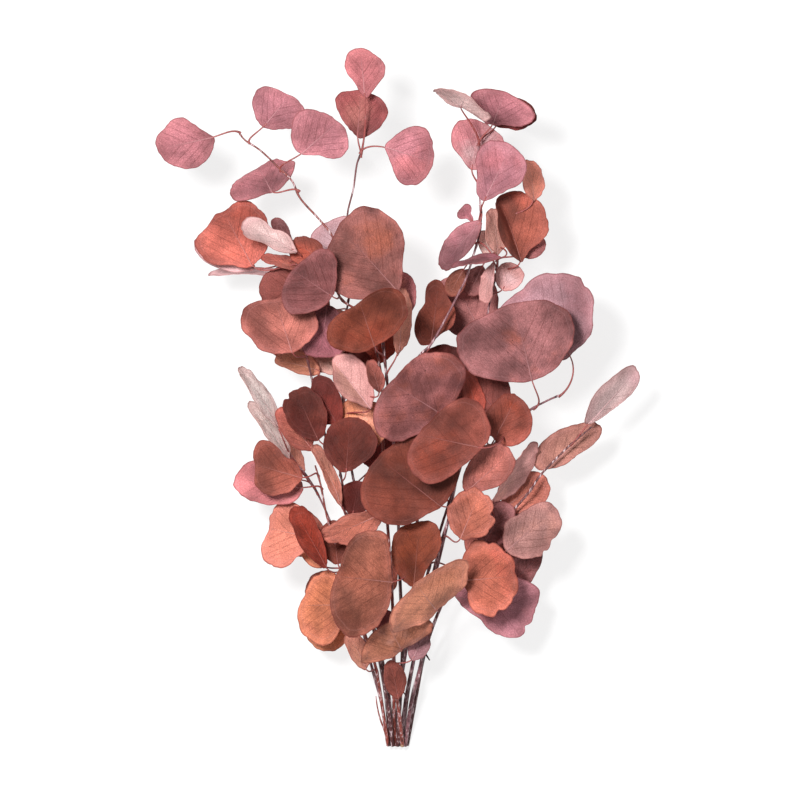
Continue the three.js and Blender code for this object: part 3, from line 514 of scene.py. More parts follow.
def makeBladeShape():  # where a spot of the square grid lies on the folded, waved and bent blade
    tree, start, end = newGroup("bladeShape", "GeometryNodeTree", {
        "Ripple": "Float", "Ripple size": "Float", "Unevenness": "Float", "Lobe spacing": "Float",
        "Seed": "Int",
    }, {"Position": "Vector", "Across": "Float", "Along": "Float", "Reach": "Float", "Up": "Vector"})
    given = start.outputs

    def read(name, dataType="FLOAT"):
        return carried(tree, name, dataType)

    def bump(value, width):  # a soft bell that is 1 where the value is 0
        share = value / width
        return (share * share * -1).math("EXPONENT")

    def noise(x, y, z, detail):  # from -1 to 1
        place = addNode(tree, "ShaderNodeCombineXYZ", {"X": x, "Y": y, "Z": z})
        node = addNode(tree, "ShaderNodeTexNoise", {
            "Vector": place.outputs[0], "W": given["Seed"], "Scale": 1.0, "Detail": detail,
        }, noise_dimensions="4D")
        return (Field(tree, node.outputs[0]) - 0.5) * 2

    spot = addNode(tree, "ShaderNodeSeparateXYZ", {"Vector": read("spot", "FLOAT_VECTOR")})
    s, t = (Field(tree, spot.outputs[axis]) for axis in "XY")
    x = s * (1 - t * t * 0.5).math("SQRT")  # the square becomes a disc, and its middle line stays straight
    y = t * (1 - s * s * 0.5).math("SQRT")
    reach = (x * x + y * y).math("SQRT")
    angle = x.math("ARCTAN2", y)  # 0 at the tip
    fromTip = angle.math("ABSOLUTE")
    fromBase = math.pi - fromTip
    long, wide = read("long"), read("wide")

    taper = 1 - read("wedge") * bump(fromBase, outlineReach["wedge"])
    dip = read("notch") * bump(fromTip, outlineReach["notch"])
    heart = read("heart") * (1 - bump(fromBase, outlineReach["cusp"]))
    dip = dip + heart * bump(fromBase, outlineReach["heart"])
    own = read("own")
    east, north = (angle.math(wave) / given["Lobe spacing"] for wave in ("COSINE", "SINE"))
    uneven = 1 + noise(east, north, own, 2.0) * given["Unevenness"]
    crimp = read("crimp") * 2 * noise(east * 3, north * 3, own, 1.0)
    swell = read("swellMean") + read("swellFour") * (angle * 4).math("COSINE")
    for name, wave in (("swellCosines", "COSINE"), ("swellSines", "SINE")):
        waves = addNode(tree, "ShaderNodeCombineXYZ", {
            axis: (angle * turns).math(wave) for axis, turns in (("X", 1), ("Y", 2), ("Z", 3))})
        dot = addNode(tree, "ShaderNodeVectorMath", {
            0: read(name, "FLOAT_VECTOR"), 1: waves.outputs[0]}, operation="DOT_PRODUCT")
        swell = swell + Field(tree, dot.outputs["Value"])
    nick = read("nickDepth") * bump(angle - read("nickPlace"), outlineReach["nick"])
    swell = swell * (1 - nick * reach * reach * reach)
    halfWidth = 0.5 * wide * angle.math("SINE") * taper * (1 - read("broad") * angle.math("COSINE"))
    halfWidth = halfWidth * (1 + read("lean") * angle.math("SIGN"))
    scallop = (angle * read("scallops") * 0.5 + own).math("SINE").math("ABSOLUTE") - 0.7
    rough = 1 + (uneven - 1 + crimp + scallop * read("scallopDepth")) * reach * reach
    across = reach * halfWidth * swell * rough
    along = long * (0.5 + reach * swell * (0.5 * angle.math("COSINE") * rough - dip))

    size = given["Ripple size"]
    ripple = noise(across / size, along / size, own, 2.0) * given["Ripple"] * reach

    fold = read("fold").math("RADIANS")
    lift = ((across * across + crease ** 2).math("SQRT") - crease) * fold.math("SINE") + ripple
    rim = reach * reach * reach
    lift = lift + wide * rim * (read("wave") * (angle * 4).math("SINE") + crimp * reach * reach)
    turn = read("arch").math("RADIANS") / long
    bent = turn * along
    forward = bent.math("SINE") / turn + lift * bent.math("SINE")
    upward = (bent.math("COSINE") - 1) / turn + lift * bent.math("COSINE")

    position = read("base", "FLOAT_VECTOR")
    sideways = across * fold.math("COSINE")
    for axis, amount in (("acrossAxis", sideways), ("alongAxis", forward), ("upAxis", upward)):
        position = added(tree, position, scaled(tree, read(axis, "FLOAT_VECTOR"), amount))
    for name, value in (("Position", position), ("Across", across), ("Along", along), ("Reach", reach),
                        ("Up", read("upAxis", "FLOAT_VECTOR"))):
        plug(tree, value, end.inputs[name])
    return tree


def makeLeafTree(bladeShape):  # one point a leaf goes in, closed blades with their midribs come out
    tree, start, end = newGroup("driedLeaves", "GeometryNodeTree", {
        "Leaves": "Geometry", "Grid points": "Int", "Thickness": "Float", "Ripple": "Float",
        "Ripple size": "Float", "Unevenness": "Float", "Lobe spacing": "Float",
        "Rib points": "Int", "Rib radius": "Float", "Rib sides": "Int",
        "Seed": "Int", "Material": "Material",
    }, {"Geometry": "Geometry"})
    given = start.outputs

    def store(geometry, name, value, domain="POINT", dataType="FLOAT"):
        node = addNode(tree, "GeometryNodeStoreNamedAttribute", {
            "Geometry": geometry, "Name": name, "Value": value}, data_type=dataType, domain=domain)
        return node.outputs[0]

    def onTable(position, least):  # lifts what would sink into the table
        parts = addNode(tree, "ShaderNodeSeparateXYZ", {"Vector": position})
        height = Field(tree, parts.outputs["Z"]).math("MAXIMUM", least)
        return addNode(tree, "ShaderNodeCombineXYZ", {
            "X": parts.outputs["X"], "Y": parts.outputs["Y"], "Z": height}).outputs[0]

    def onEachLeaf(pattern):  # a copy for each leaf, with the leaf's own numbers on it
        here = addNode(tree, "GeometryNodeInputPosition").outputs[0]
        pattern = store(pattern, "spot", here, dataType="FLOAT_VECTOR")
        copies = addNode(tree, "GeometryNodeInstanceOnPoints", {
            "Points": given["Leaves"], "Instance": pattern})
        return addNode(tree, "GeometryNodeRealizeInstances", {"Geometry": copies.outputs[0]}).outputs[0]

    shape = addNode(tree, "GeometryNodeGroup", {
        name: given[name] for name in ("Ripple", "Ripple size", "Unevenness", "Lobe spacing", "Seed")
    }, node_tree=bladeShape)
    along = Field(tree, shape.outputs["Along"])
    long, wide = carried(tree, "long"), carried(tree, "wide")

    grid = addNode(tree, "GeometryNodeMeshGrid", {
        "Size X": 2.0, "Size Y": 2.0,
        "Vertices X": given["Grid points"], "Vertices Y": given["Grid points"]})
    face = onEachLeaf(grid.outputs["Mesh"])
    face = store(face, "across", shape.outputs["Across"])
    face = store(face, "alongShare", along / long)
    inside = 1 - Field(tree, shape.outputs["Reach"])
    face = store(face, "rimGap", inside * 0.5 * long.math("MINIMUM", wide))
    face = addNode(tree, "GeometryNodeSetPosition", {
        "Geometry": face, "Position": onTable(shape.outputs["Position"], given["Thickness"])}).outputs[0]
    back = addNode(tree, "GeometryNodeFlipFaces", {"Mesh": face})
    back = addNode(tree, "GeometryNodeExtrudeMesh", {
        "Mesh": back.outputs[0], "Offset Scale": given["Thickness"], "Individual": False,
    }, mode="FACES")
    isBack = Field(tree, back.outputs["Top"]) * 0.5 + 0.5  # 1 underneath, 0.5 on the narrow edge
    backFace = store(back.outputs["Mesh"], "backFace", isBack, domain="FACE")
    shell = addNode(tree, "GeometryNodeJoinGeometry")
    plug(tree, backFace, shell.inputs[0])
    plug(tree, face, shell.inputs[0])
    shell = addNode(tree, "GeometryNodeMergeByDistance", {"Geometry": shell.outputs[0], "Distance": 1e-6})

    line = addNode(tree, "GeometryNodeMeshLine", {
        "Count": given["Rib points"], "Start Location": (0, -1, 0), "Offset": (0, 0.9, 0),
    }, mode="END_POINTS")
    rib = onEachLeaf(line.outputs[0])
    rib = store(rib, "alongShare", along / long)
    down = scaled(tree, shape.outputs["Up"], Field(tree, given["Thickness"]) * -0.4)  # into the blade
    sunk = added(tree, shape.outputs["Position"], down)
    rib = addNode(tree, "GeometryNodeSetPosition", {
        "Geometry": rib, "Position": onTable(sunk, given["Rib radius"])}).outputs[0]
    rib = addNode(tree, "GeometryNodeMeshToCurve", {"Mesh": rib}).outputs[0]
    share = carried(tree, "alongShare")
    slim = (long / (60 * mm)).math("MINIMUM", 1.1).math("MAXIMUM", 0.6) * (1 - share * 0.72)
    ring = addNode(tree, "GeometryNodeCurvePrimitiveCircle", {
        "Resolution": given["Rib sides"], "Radius": given["Rib radius"]})
    rib = addNode(tree, "GeometryNodeCurveToMesh", {
        "Curve": rib, "Profile Curve": ring.outputs["Curve"], "Scale": slim, "Fill Caps": True}).outputs[0]
    rib = store(rib, "rib", 1.0)

    both = addNode(tree, "GeometryNodeJoinGeometry")
    plug(tree, rib, both.inputs[0])
    plug(tree, shell.outputs[0], both.inputs[0])
    lowest = onTable(addNode(tree, "GeometryNodeInputPosition").outputs[0], tableTop)
    whole = addNode(tree, "GeometryNodeSetPosition", {"Geometry": both.outputs[0], "Position": lowest})
    plug(tree, finished(tree, whole.outputs[0], given["Material"]), end.inputs[0])
    return tree


woodSettings = {  # the named inputs of the wood's tree
    "Sides": 10,
    "Bark height": 0.28 * mm,
    "Bark size": 3.0 * mm,
    "Cut line": -279.8 * mm,  # all the stems are cut square here
}
stemSettings = {  # mm, and shares of the girth
    "pointGap": 2.5, "slimmer": 0.86,
    "knotSwell": 0.38, "knotLength": 2.4, "knotMost": 1.2,  # where stalks leave a stem
}
stalkSettings = {  # mm, and the pull as a share of the leaf's length or of the stalk's reach
    "points": 16, "root": 1.2, "pull": 0.35, "intoBlade": 4.0, "thick": 0.85, "thin": 0.5,
    "sink": 0.3, "sinkBehind": 0.4,  # how far under the blade the stalk ends, and under its line behind
    "flare": 0.3, "flareShare": 0.12,  # how much thicker a stalk is at the stem, and over how much of it
}
twigSettings = {"thick": 0.9, "thin": 0.5}  # radii in mm
coarseStep = 28.0  # leaves are placed on a stem by its chords of this length


def smoothRoute(route):  # a centripetal curve through the route's points, one point every few mm
    points = [Vector(point) for point in route]
    points = [2 * points[0] - points[1]] + points + [2 * points[-1] - points[-2]]
    fine = []
    for a, b, c, d in zip(points, points[1:], points[2:], points[3:]):
        before, here, after = ((q - p).length ** 0.5 for p, q in ((a, b), (b, c), (c, d)))
        leave = ((b - a) / before - (c - a) / (before + here) + (c - b) / here) * here
        arrive = ((c - b) / here - (d - b) / (here + after) + (d - c) / after) * here
        count = max(2, round((c - b).length / stemSettings["pointGap"]))
        for step in range(count):
            t = step / count
            fine.append(b + leave * t + (3 * (c - b) - 2 * leave - arrive) * t ** 2
                        + (2 * (b - c) + leave + arrive) * t ** 3)
    return fine + [points[-2]]


def spaced(points, count):  # the same line with evenly spaced points
    lengths = np.concatenate([[0], np.cumsum([(b - a).length for a, b in zip(points, points[1:])])])
    marks = np.linspace(0, lengths[-1], count + 1)
    coordinates = np.array([tuple(point) for point in points])
    return [Vector([np.interp(mark, lengths, coordinates[:, axis]) for axis in range(3)]) for mark in marks]


def nearestSpot(line, spot):  # the nearest place on a line of points, and which way the line runs there
    best = None
    for a, b in zip(line, line[1:]):
        share = min(max((spot - a).dot(b - a) / (b - a).length_squared, 0), 1)
        point = a + (b - a) * share
        if best is None or (point - spot).length < best[0]:
            best = ((point - spot).length, point, (b - a).normalized())
    return best[1], best[2]


def cubic(points, t):
    a, b, c, d = points
    return a * (1 - t) ** 3 + 3 * b * t * (1 - t) ** 2 + 3 * c * t ** 2 * (1 - t) + d * t ** 3


def stalkPath(row, line):  # from inside the stem to a little way into the blade
    _, along, up = leafAxes(row)
    base = Vector(row["base"]) - up * stalkSettings["sink"]
    behind = Vector(row["base"]) - up * stalkSettings["sinkBehind"]
    behind = behind - along * row["long"] * stalkSettings["pull"]
    knot, tangent = nearestSpot(line, behind)
    reach = (knot - base).length
    pull = reach * stalkSettings["pull"]
    inward = (knot - base).normalized() * stalkSettings["root"]
    bend = (knot + inward, knot + tangent * pull,
            base - along * pull, base + along * stalkSettings["intoBlade"])
    count = stalkSettings["points"]
    return knot, [cubic(bend, i / (count - 1)) for i in range(count)]


def makeWoodTree():  # chains of points go in, round stems and stalks with uneven bark come out
    tree, start, end = newGroup("wood", "GeometryNodeTree", {
        "Chains": "Geometry", "Sides": "Int", "Bark height": "Float", "Bark size": "Float",
        "Cut line": "Float", "Bark": "Material", "Cut wood": "Material",
    }, {"Geometry": "Geometry"})
    given = start.outputs

    curve = addNode(tree, "GeometryNodeMeshToCurve", {"Mesh": given["Chains"]})
    ring = addNode(tree, "GeometryNodeCurvePrimitiveCircle", {"Resolution": given["Sides"], "Radius": 1.0})
    wood = addNode(tree, "GeometryNodeCurveToMesh", {
        "Curve": curve.outputs[0], "Profile Curve": ring.outputs["Curve"],
        "Scale": carried(tree, "girth"), "Fill Caps": True})
    place = addNode(tree, "GeometryNodeInputPosition").outputs[0]
    barkPlace = scaled(tree, place, Field(tree, given["Bark size"]).math("POWER", -1))
    noise = addNode(tree, "ShaderNodeTexNoise", {"Vector": barkPlace, "Scale": 1.0, "Detail": 3.0})
    rough = (Field(tree, noise.outputs[0]) - 0.5) * given["Bark height"] * carried(tree, "woody")
    outward = scaled(tree, addNode(tree, "GeometryNodeInputNormal").outputs[0], rough)
    wood = addNode(tree, "GeometryNodeSetPosition", {"Geometry": wood.outputs[0], "Offset": outward})
    wood = finished(tree, wood.outputs[0], given["Bark"])
    height = addNode(tree, "ShaderNodeSeparateXYZ", {"Vector": place})
    isCut = Field(tree, height.outputs["Y"]).math("LESS_THAN", given["Cut line"])
    wood = addNode(tree, "GeometryNodeSetMaterial", {
        "Geometry": wood, "Material": given["Cut wood"], "Selection": isCut})
    plug(tree, wood.outputs[0], end.inputs[0])
    return tree


def newMaterial(name):  # a material, its tree, its shader and the piece's own coordinates
    material = bpy.data.materials.new(name)
    material.use_nodes = True
    tree = material.node_tree
    place = addNode(tree, "ShaderNodeTexCoord").outputs["Object"]
    return material, tree, tree.nodes["Principled BSDF"], place


def shaderField(tree, name):  # a number that each point of a piece has
    node = addNode(tree, "ShaderNodeAttribute", attribute_name=name)
    return Field(tree, node.outputs["Fac"])


def shaderColour(tree, name):
    return addNode(tree, "ShaderNodeAttribute", attribute_name=name).outputs["Color"]


def ramp(tree, value, low, high):  # 0 below low, 1 above high, smooth between
    node = addNode(tree, "ShaderNodeMapRange", {0: value, 1: low, 2: high}, interpolation_type="SMOOTHSTEP")
    return Field(tree, node.outputs[0])


def mixColour(tree, share, first, second, blend="MIX"):
    node = addNode(tree, "ShaderNodeMix", {0: share, 6: first, 7: second},
                   data_type="RGBA", blend_type=blend)
    return node.outputs[2]


def shaded(tree, colour, light):  # the colour made lighter where light is above 1 and darker below
    grey = addNode(tree, "ShaderNodeCombineColor", {0: light, 1: light, 2: light})
    return mixColour(tree, 1.0, colour, grey.outputs[0], "MULTIPLY")


def noiseField(tree, place, scale, detail=3.0, roughness=0.55):
    node = addNode(tree, "ShaderNodeTexNoise", {
        "Vector": place, "Scale": scale, "Detail": detail, "Roughness": roughness})
    return Field(tree, node.outputs[0])


def makeFineGrain():  # soft clouds and fine fibres that make a surface lighter and darker
    tree, start, end = newGroup("fineGrain", "ShaderNodeTree", {
        "Place": "Vector", "Fibre place": "Vector", "Cloud scale": "Float", "Fibre scale": "Float",
        "Contrast": "Float",
    }, {"Shade": "Float", "Height": "Float"})
    given = start.outputs
    cloud = noiseField(tree, given["Place"], given["Cloud scale"], 4.0) - 0.5
    fibre = noiseField(tree, given["Fibre place"], given["Fibre scale"], 3.0, 0.7) - 0.5
    plug(tree, 1 + (cloud + fibre * 1.7) * given["Contrast"], end.inputs["Shade"])
    plug(tree, fibre + 0.5, end.inputs["Height"])
    return tree


veinSettings = {
    "wanderScale": 60.0, "midribWander": 0.9 * mm, "sideWander": 4 * mm, "rimWander": 3 * mm,
    "tipWidth": 0.12,  # of the midrib, as a share of its width at the foot
    "sideSlope": 1.2, "sideBend": 8.0,  # the side veins run forwards from the midrib and curve on
    "sideVeins": 6.2, "crowding": 0.62,  # about how many there are, and how they close up at the foot
    "stagger": 0.17,  # so that the two sides' veins don't meet in pairs
    "sideGap": 0.17,  # between two veins of a side, as a share of the blade's length
    "fineStrength": 0.34, "rimInset": 3.2 * mm,
}


def makeVeins():  # masks of the midrib, side veins, the net between them and the lines along the rim
    tree, start, end = newGroup("leafVeins", "ShaderNodeTree", {
        "Place": "Vector", "Across": "Float", "Along": "Float", "Length": "Float", "Rim gap": "Float",
        "Vein width": "Float", "Net scale": "Float",
    }, {"Midrib": "Float", "Side veins": "Float", "Net": "Float", "Rim line": "Float", "Rim": "Float"})
    across, along, length, gap, width = (
        Field(tree, start.outputs[name]) for name in ("Across", "Along", "Length", "Rim gap", "Vein width"))
    place = start.outputs["Place"]
    veins = veinSettings
    wander = noiseField(tree, place, veins["wanderScale"], 2.0) - 0.5
    out = across.math("ABSOLUTE")
    slim = (1 - along / length).math("MAXIMUM", veins["tipWidth"])
    offMidrib = (across + wander * veins["midribWander"]).math("ABSOLUTE")
    midrib = 1 - ramp(tree, offMidrib, width * slim * 0.7, width * (slim + 0.5))
    plug(tree, midrib * ramp(tree, slim, veins["tipWidth"], 0.2), end.inputs["Midrib"])

    # where the vein here leaves the midrib, and how many veins have left it by there
    forward = out * veins["sideSlope"] + out * out * veins["sideBend"]
    foot = (along - forward + wander * veins["sideWander"]) / length
    row = (foot + 0.3).math("MAXIMUM", 0.0).math("POWER", veins["crowding"]) * veins["sideVeins"]
    row = row + across.math("SIGN") * veins["stagger"]
    stretch = length * veins["sideGap"]
    inBlade = ramp(tree, foot, -0.16, -0.04) * (1 - ramp(tree, foot, 0.6, 0.8))
    main = (row.math("FRACT") - 0.5).math("ABSOLUTE") * stretch
    fine = ((row * 4 + wander * 1.5).math("FRACT") - 0.5).math("ABSOLUTE") * stretch * 0.25
    mainMask = (1 - ramp(tree, main, width * 0.25, width * 0.95)) * inBlade
    fineMask = (1 - ramp(tree, fine, width * 0.1, width * 0.6)) * veins["fineStrength"]
    fade = ramp(tree, gap, 1.0 * mm, 7 * mm) * 0.7 + 0.3
    plug(tree, mainMask.math("MAXIMUM", fineMask) * fade, end.inputs["Side veins"])
    cells = addNode(tree, "ShaderNodeTexVoronoi", {
        "Vector": place, "Scale": start.outputs["Net scale"]}, feature="DISTANCE_TO_EDGE")
    net = 1 - ramp(tree, Field(tree, cells.outputs["Distance"]), 0.02, 0.2)
    plug(tree, net * ramp(tree, gap, 0.5 * mm, 3 * mm), end.inputs["Net"])
    offRim = (gap - (veins["rimInset"] + wander * veins["rimWander"])).math("ABSOLUTE")
    plug(tree, 1 - ramp(tree, offRim, width * 0.3, width), end.inputs["Rim line"])
    plug(tree, 1 - ramp(tree, gap, 0.2 * mm, 1.1 * mm), end.inputs["Rim"])
    return tree


leafLook = {
    "blotchScale": 24.0, "dentScale": 32.0, "cloudScale": 95.0, "fibreScale": 1150.0,
    "contrast": 0.7, "paintedDentShading": 0.9,  # how strongly the grain shades a dark leaf, and how much painted shade and light the dents put on it
    "fibreStretch": 0.7, "blush": 0.42, "blushWidth": 11 * mm,  # the pinker band inside the rim
    "veinWidth": 0.5 * mm, "netScale": 620.0, "netTone": (96, 46, 42),
    "net": 0.25, "sideVeins": 0.14, "darkSideVeins": 0.22,  # how far each is drawn in the net's tone
    "midrib": 0.75, "rib": 0.9, "rimLine": 0.14,  # how far each is drawn in the leaf's vein tone
    "rim": 0.55, "rimTone": (112, 44, 40), "back": 0.7,
    "speckleScale": 290.0, "speckleTone": (58, 30, 30),
    "roughness": (0.5, 0.7), "specular": 0.12, "bumpDistance": 0.35 * mm, "dentDepth": 3.2 * mm,
}


def makeLeafMaterial(fineGrain, leafVeins):
    look = leafLook
    material, tree, shader, place = newMaterial("driedLeaf")
    across, alongShare, rimGap, long = (
        shaderField(tree, name) for name in ("across", "alongShare", "rimGap", "long"))

    # blotches or one half of the blade in the leaf's other tone, and pinker towards the rim
    blotch = ramp(tree, noiseField(tree, place, look["blotchScale"], 4.0, 0.55), 0.48, 0.68)
    blotch = blotch * shaderField(tree, "blotch")
    halfMask = ramp(tree, across * shaderField(tree, "half"), -0.2 * mm, 1.4 * mm)
    other = blotch.math("MAXIMUM", halfMask)
    colour = mixColour(tree, other, shaderColour(tree, "tone"), shaderColour(tree, "otherTone"))
    nearRim = 1 - ramp(tree, rimGap, 0.0, look["blushWidth"])
    colour = mixColour(tree, nearRim * look["blush"], colour, shaderColour(tree, "edgeTone"))

    # painted shade in the dents' hollows and painted light on their rises, clouds, and fine fibres drawn
    # out a little along the side veins
    dentShadingAndBump = ramp(tree, noiseField(tree, place, look["dentScale"], 2.0, 0.5), 0.3, 0.72)
    foot = alongShare * long - across.math("ABSOLUTE") * 1.1
    fibrePlace = addNode(tree, "ShaderNodeCombineXYZ", {
        "X": across * look["fibreStretch"], "Y": foot, "Z": shaderField(tree, "own")}).outputs[0]
    grain = addNode(tree, "ShaderNodeGroup", {
        "Place": place, "Fibre place": fibrePlace, "Cloud scale": look["cloudScale"],
        "Fibre scale": look["fibreScale"], "Contrast": look["contrast"]}, node_tree=fineGrain)
    depth = shaderField(tree, "depth")  # of the grain and the veins, more on a dark leaf
    light = (Field(tree, grain.outputs["Shade"]) - 1) * (depth + 0.5) + 1
    # painted shade and light: the dents' hollows darkened and their rises lightened in the colour itself
    light = light * ((dentShadingAndBump - 0.55) * depth * look["paintedDentShading"] + 1)
    colour = shaded(tree, colour, light)

    veins = addNode(tree, "ShaderNodeGroup", {
        "Place": place, "Across": across, "Along": alongShare * long, "Length": long, "Rim gap": rimGap,
        "Vein width": look["veinWidth"], "Net scale": look["netScale"]}, node_tree=leafVeins)
    midrib, side, net, rimLine, rim = (
        Field(tree, veins.outputs[name]) for name in ("Midrib", "Side veins", "Net", "Rim line", "Rim"))
    veinTone = shaderColour(tree, "veinTone")
    lines = net * look["net"] + side * (depth * look["darkSideVeins"] + look["sideVeins"])
    colour = mixColour(tree, lines, colour, paint(look["netTone"]))
    colour = mixColour(tree, rimLine * look["rimLine"], colour, veinTone)
    pale = 1.15 - depth * 0.55  # the midrib stands out less on a dark leaf, and less towards the tip
    colour = mixColour(tree, midrib * (look["midrib"] - alongShare * 0.5) * pale, colour, veinTone)

    dots = addNode(tree, "ShaderNodeTexVoronoi", {"Vector": place, "Scale": look["speckleScale"]})
    chosen = addNode(tree, "ShaderNodeSeparateColor", {0: dots.outputs["Color"]})
    chosen = ramp(tree, Field(tree, chosen.outputs[0]), 0.66, 0.7)
    dot = (1 - ramp(tree, Field(tree, dots.outputs["Distance"]), 0.07, 0.2)) * chosen
    patches = ramp(tree, noiseField(tree, place, 26.0, 2.0), 0.4, 0.6)
    dot = dot * patches * shaderField(tree, "speckle")
    colour = mixColour(tree, dot, colour, paint(look["speckleTone"]))
    colour = mixColour(tree, rim * look["rim"], colour, paint(look["rimTone"]))

    isBack = shaderField(tree, "backFace")
    colour = mixColour(tree, isBack * look["back"], colour, shaderColour(tree, "backTone"))
    ribPale = shaderField(tree, "rib") * (look["rib"] - ramp(tree, alongShare, 0.1, 0.7) * 0.66) * pale
    colour = mixColour(tree, ribPale, colour, veinTone)
    plug(tree, colour, shader.inputs["Base Color"])

    low, high = look["roughness"]
    plug(tree, noiseField(tree, place, 60.0) * (high - low) + low, shader.inputs["Roughness"])
    height = midrib * 1.2 + side * 0.9 + rimLine * 0.4 - net * 0.35 - dot * 0.4
    height = height + Field(tree, grain.outputs["Height"]) * 0.5
    height = height + dentShadingAndBump * (look["dentDepth"] / look["bumpDistance"])
    bump = addNode(tree, "ShaderNodeBump", {
        "Height": height, "Strength": 0.7, "Distance": look["bumpDistance"]})
    plug(tree, bump.outputs[0], shader.inputs["Normal"])
    shader.inputs["Specular IOR Level"].default_value = look["specular"]
    return material


barkLook = {
    "streakStretch": (520.0, 60.0, 520.0),  # streaks run along the bunch
    # the pale bloom tone is the stems' waxy bloom and also a painted highlight along them
    "bloomAndHighlightTone": (236, 208, 212), "darkTone": (40, 20, 24),
    "cloudScale": 90.0, "fibreScale": 1400.0, "contrast": 0.8,
    "bloomAndHighlightOnWood": 0.66, "bloomAndHighlightOnStalks": 0.12, "darkStreaks": 0.85,
    "specular": 0.45, "bumpDistance": 0.3 * mm,
}


def makeBarkMaterial(fineGrain):
    look = barkLook
    material, tree, shader, place = newMaterial("eucalyptusBark")
    stretched = addNode(tree, "ShaderNodeMapping", {
        "Vector": place, "Scale": look["streakStretch"]}).outputs[0]
    woody = shaderField(tree, "woody")
    grain = addNode(tree, "ShaderNodeGroup", {
        "Place": place, "Fibre place": place, "Cloud scale": look["cloudScale"],
        "Fibre scale": look["fibreScale"], "Contrast": look["contrast"]}, node_tree=fineGrain)
    colour = shaded(tree, shaderColour(tree, "tone"), grain.outputs["Shade"])
    streak = noiseField(tree, stretched, 1.0, 4.0, 0.6)
    # pale streaks: the stems' waxy bloom, made stronger as a painted highlight
    bloomAndHighlight = ramp(tree, streak, 0.54, 0.64) * (woody * look["bloomAndHighlightOnWood"] + look["bloomAndHighlightOnStalks"])
    colour = mixColour(tree, bloomAndHighlight, colour, paint(look["bloomAndHighlightTone"]))
    dark = (1 - ramp(tree, streak, 0.34, 0.48)) * woody
    colour = mixColour(tree, dark * look["darkStreaks"], colour, paint(look["darkTone"]))
    plug(tree, colour, shader.inputs["Base Color"])
    plug(tree, streak * 0.25 + 0.42, shader.inputs["Roughness"])
    bump = addNode(tree, "ShaderNodeBump", {
        "Height": streak + Field(tree, grain.outputs["Height"]) * 0.4,
        "Strength": 0.7, "Distance": look["bumpDistance"]})
    plug(tree, bump.outputs[0], shader.inputs["Normal"])
    shader.inputs["Specular IOR Level"].default_value = look["specular"]
    return material


cutLook = {
    "ringTone": (150, 108, 82), "pithTone": (206, 168, 132), "speckScale": 1600.0,
    "bumpDistance": 0.2 * mm,
}


def makeCutMaterial():
    look = cutLook
    material, tree, shader, place = newMaterial("cutWood")
    speck = noiseField(tree, place, look["speckScale"], 3.0, 0.7)
    pithMask = ramp(tree, speck, 0.35, 0.65)
    colour = mixColour(tree, pithMask, paint(look["ringTone"]), paint(look["pithTone"]))
    plug(tree, colour, shader.inputs["Base Color"])
    plug(tree, speck * 0.2 + 0.65, shader.inputs["Roughness"])
    bump = addNode(tree, "ShaderNodeBump", {
        "Height": speck, "Strength": 0.5, "Distance": look["bumpDistance"]})
    plug(tree, bump.outputs[0], shader.inputs["Normal"])
    return material


barkTones = {  # at the foot and at the tip
    "dark": ((92, 46, 46), (112, 58, 60)),
    "red": ((148, 66, 54), (136, 66, 60)),
    "mauve": ((138, 92, 98), (136, 84, 90)),
}
stalkTones = {"root": (140, 58, 54), "tip": (168, 84, 80)}
paleVein, pinkEdge, paleBack = (222, 174, 176), (200, 122, 122), (205, 158, 146)
sharpAngle = 50  # in degrees, past which an edge of a blade stays sharp

fineGrain = makeFineGrain()
leafMaterial = makeLeafMaterial(fineGrain, makeVeins())
barkMaterial = makeBarkMaterial(fineGrain)
cutMaterial = makeCutMaterial()
leafTree = makeLeafTree(makeBladeShape())
woodTree = makeWoodTree()
print("materials and node trees made")


def paler(colour, pale, least, most):  # a dark leaf's veins and edge are less pale than a light leaf's
    return mixed(colour, pale, least + (most - least) * sum(colour) / (3 * 255))


def darkness(colour):  # 0.3 for a light leaf, 1 for a dark one
    return min(max((215 - sum(colour) / 3) / 90, 0.3), 1)


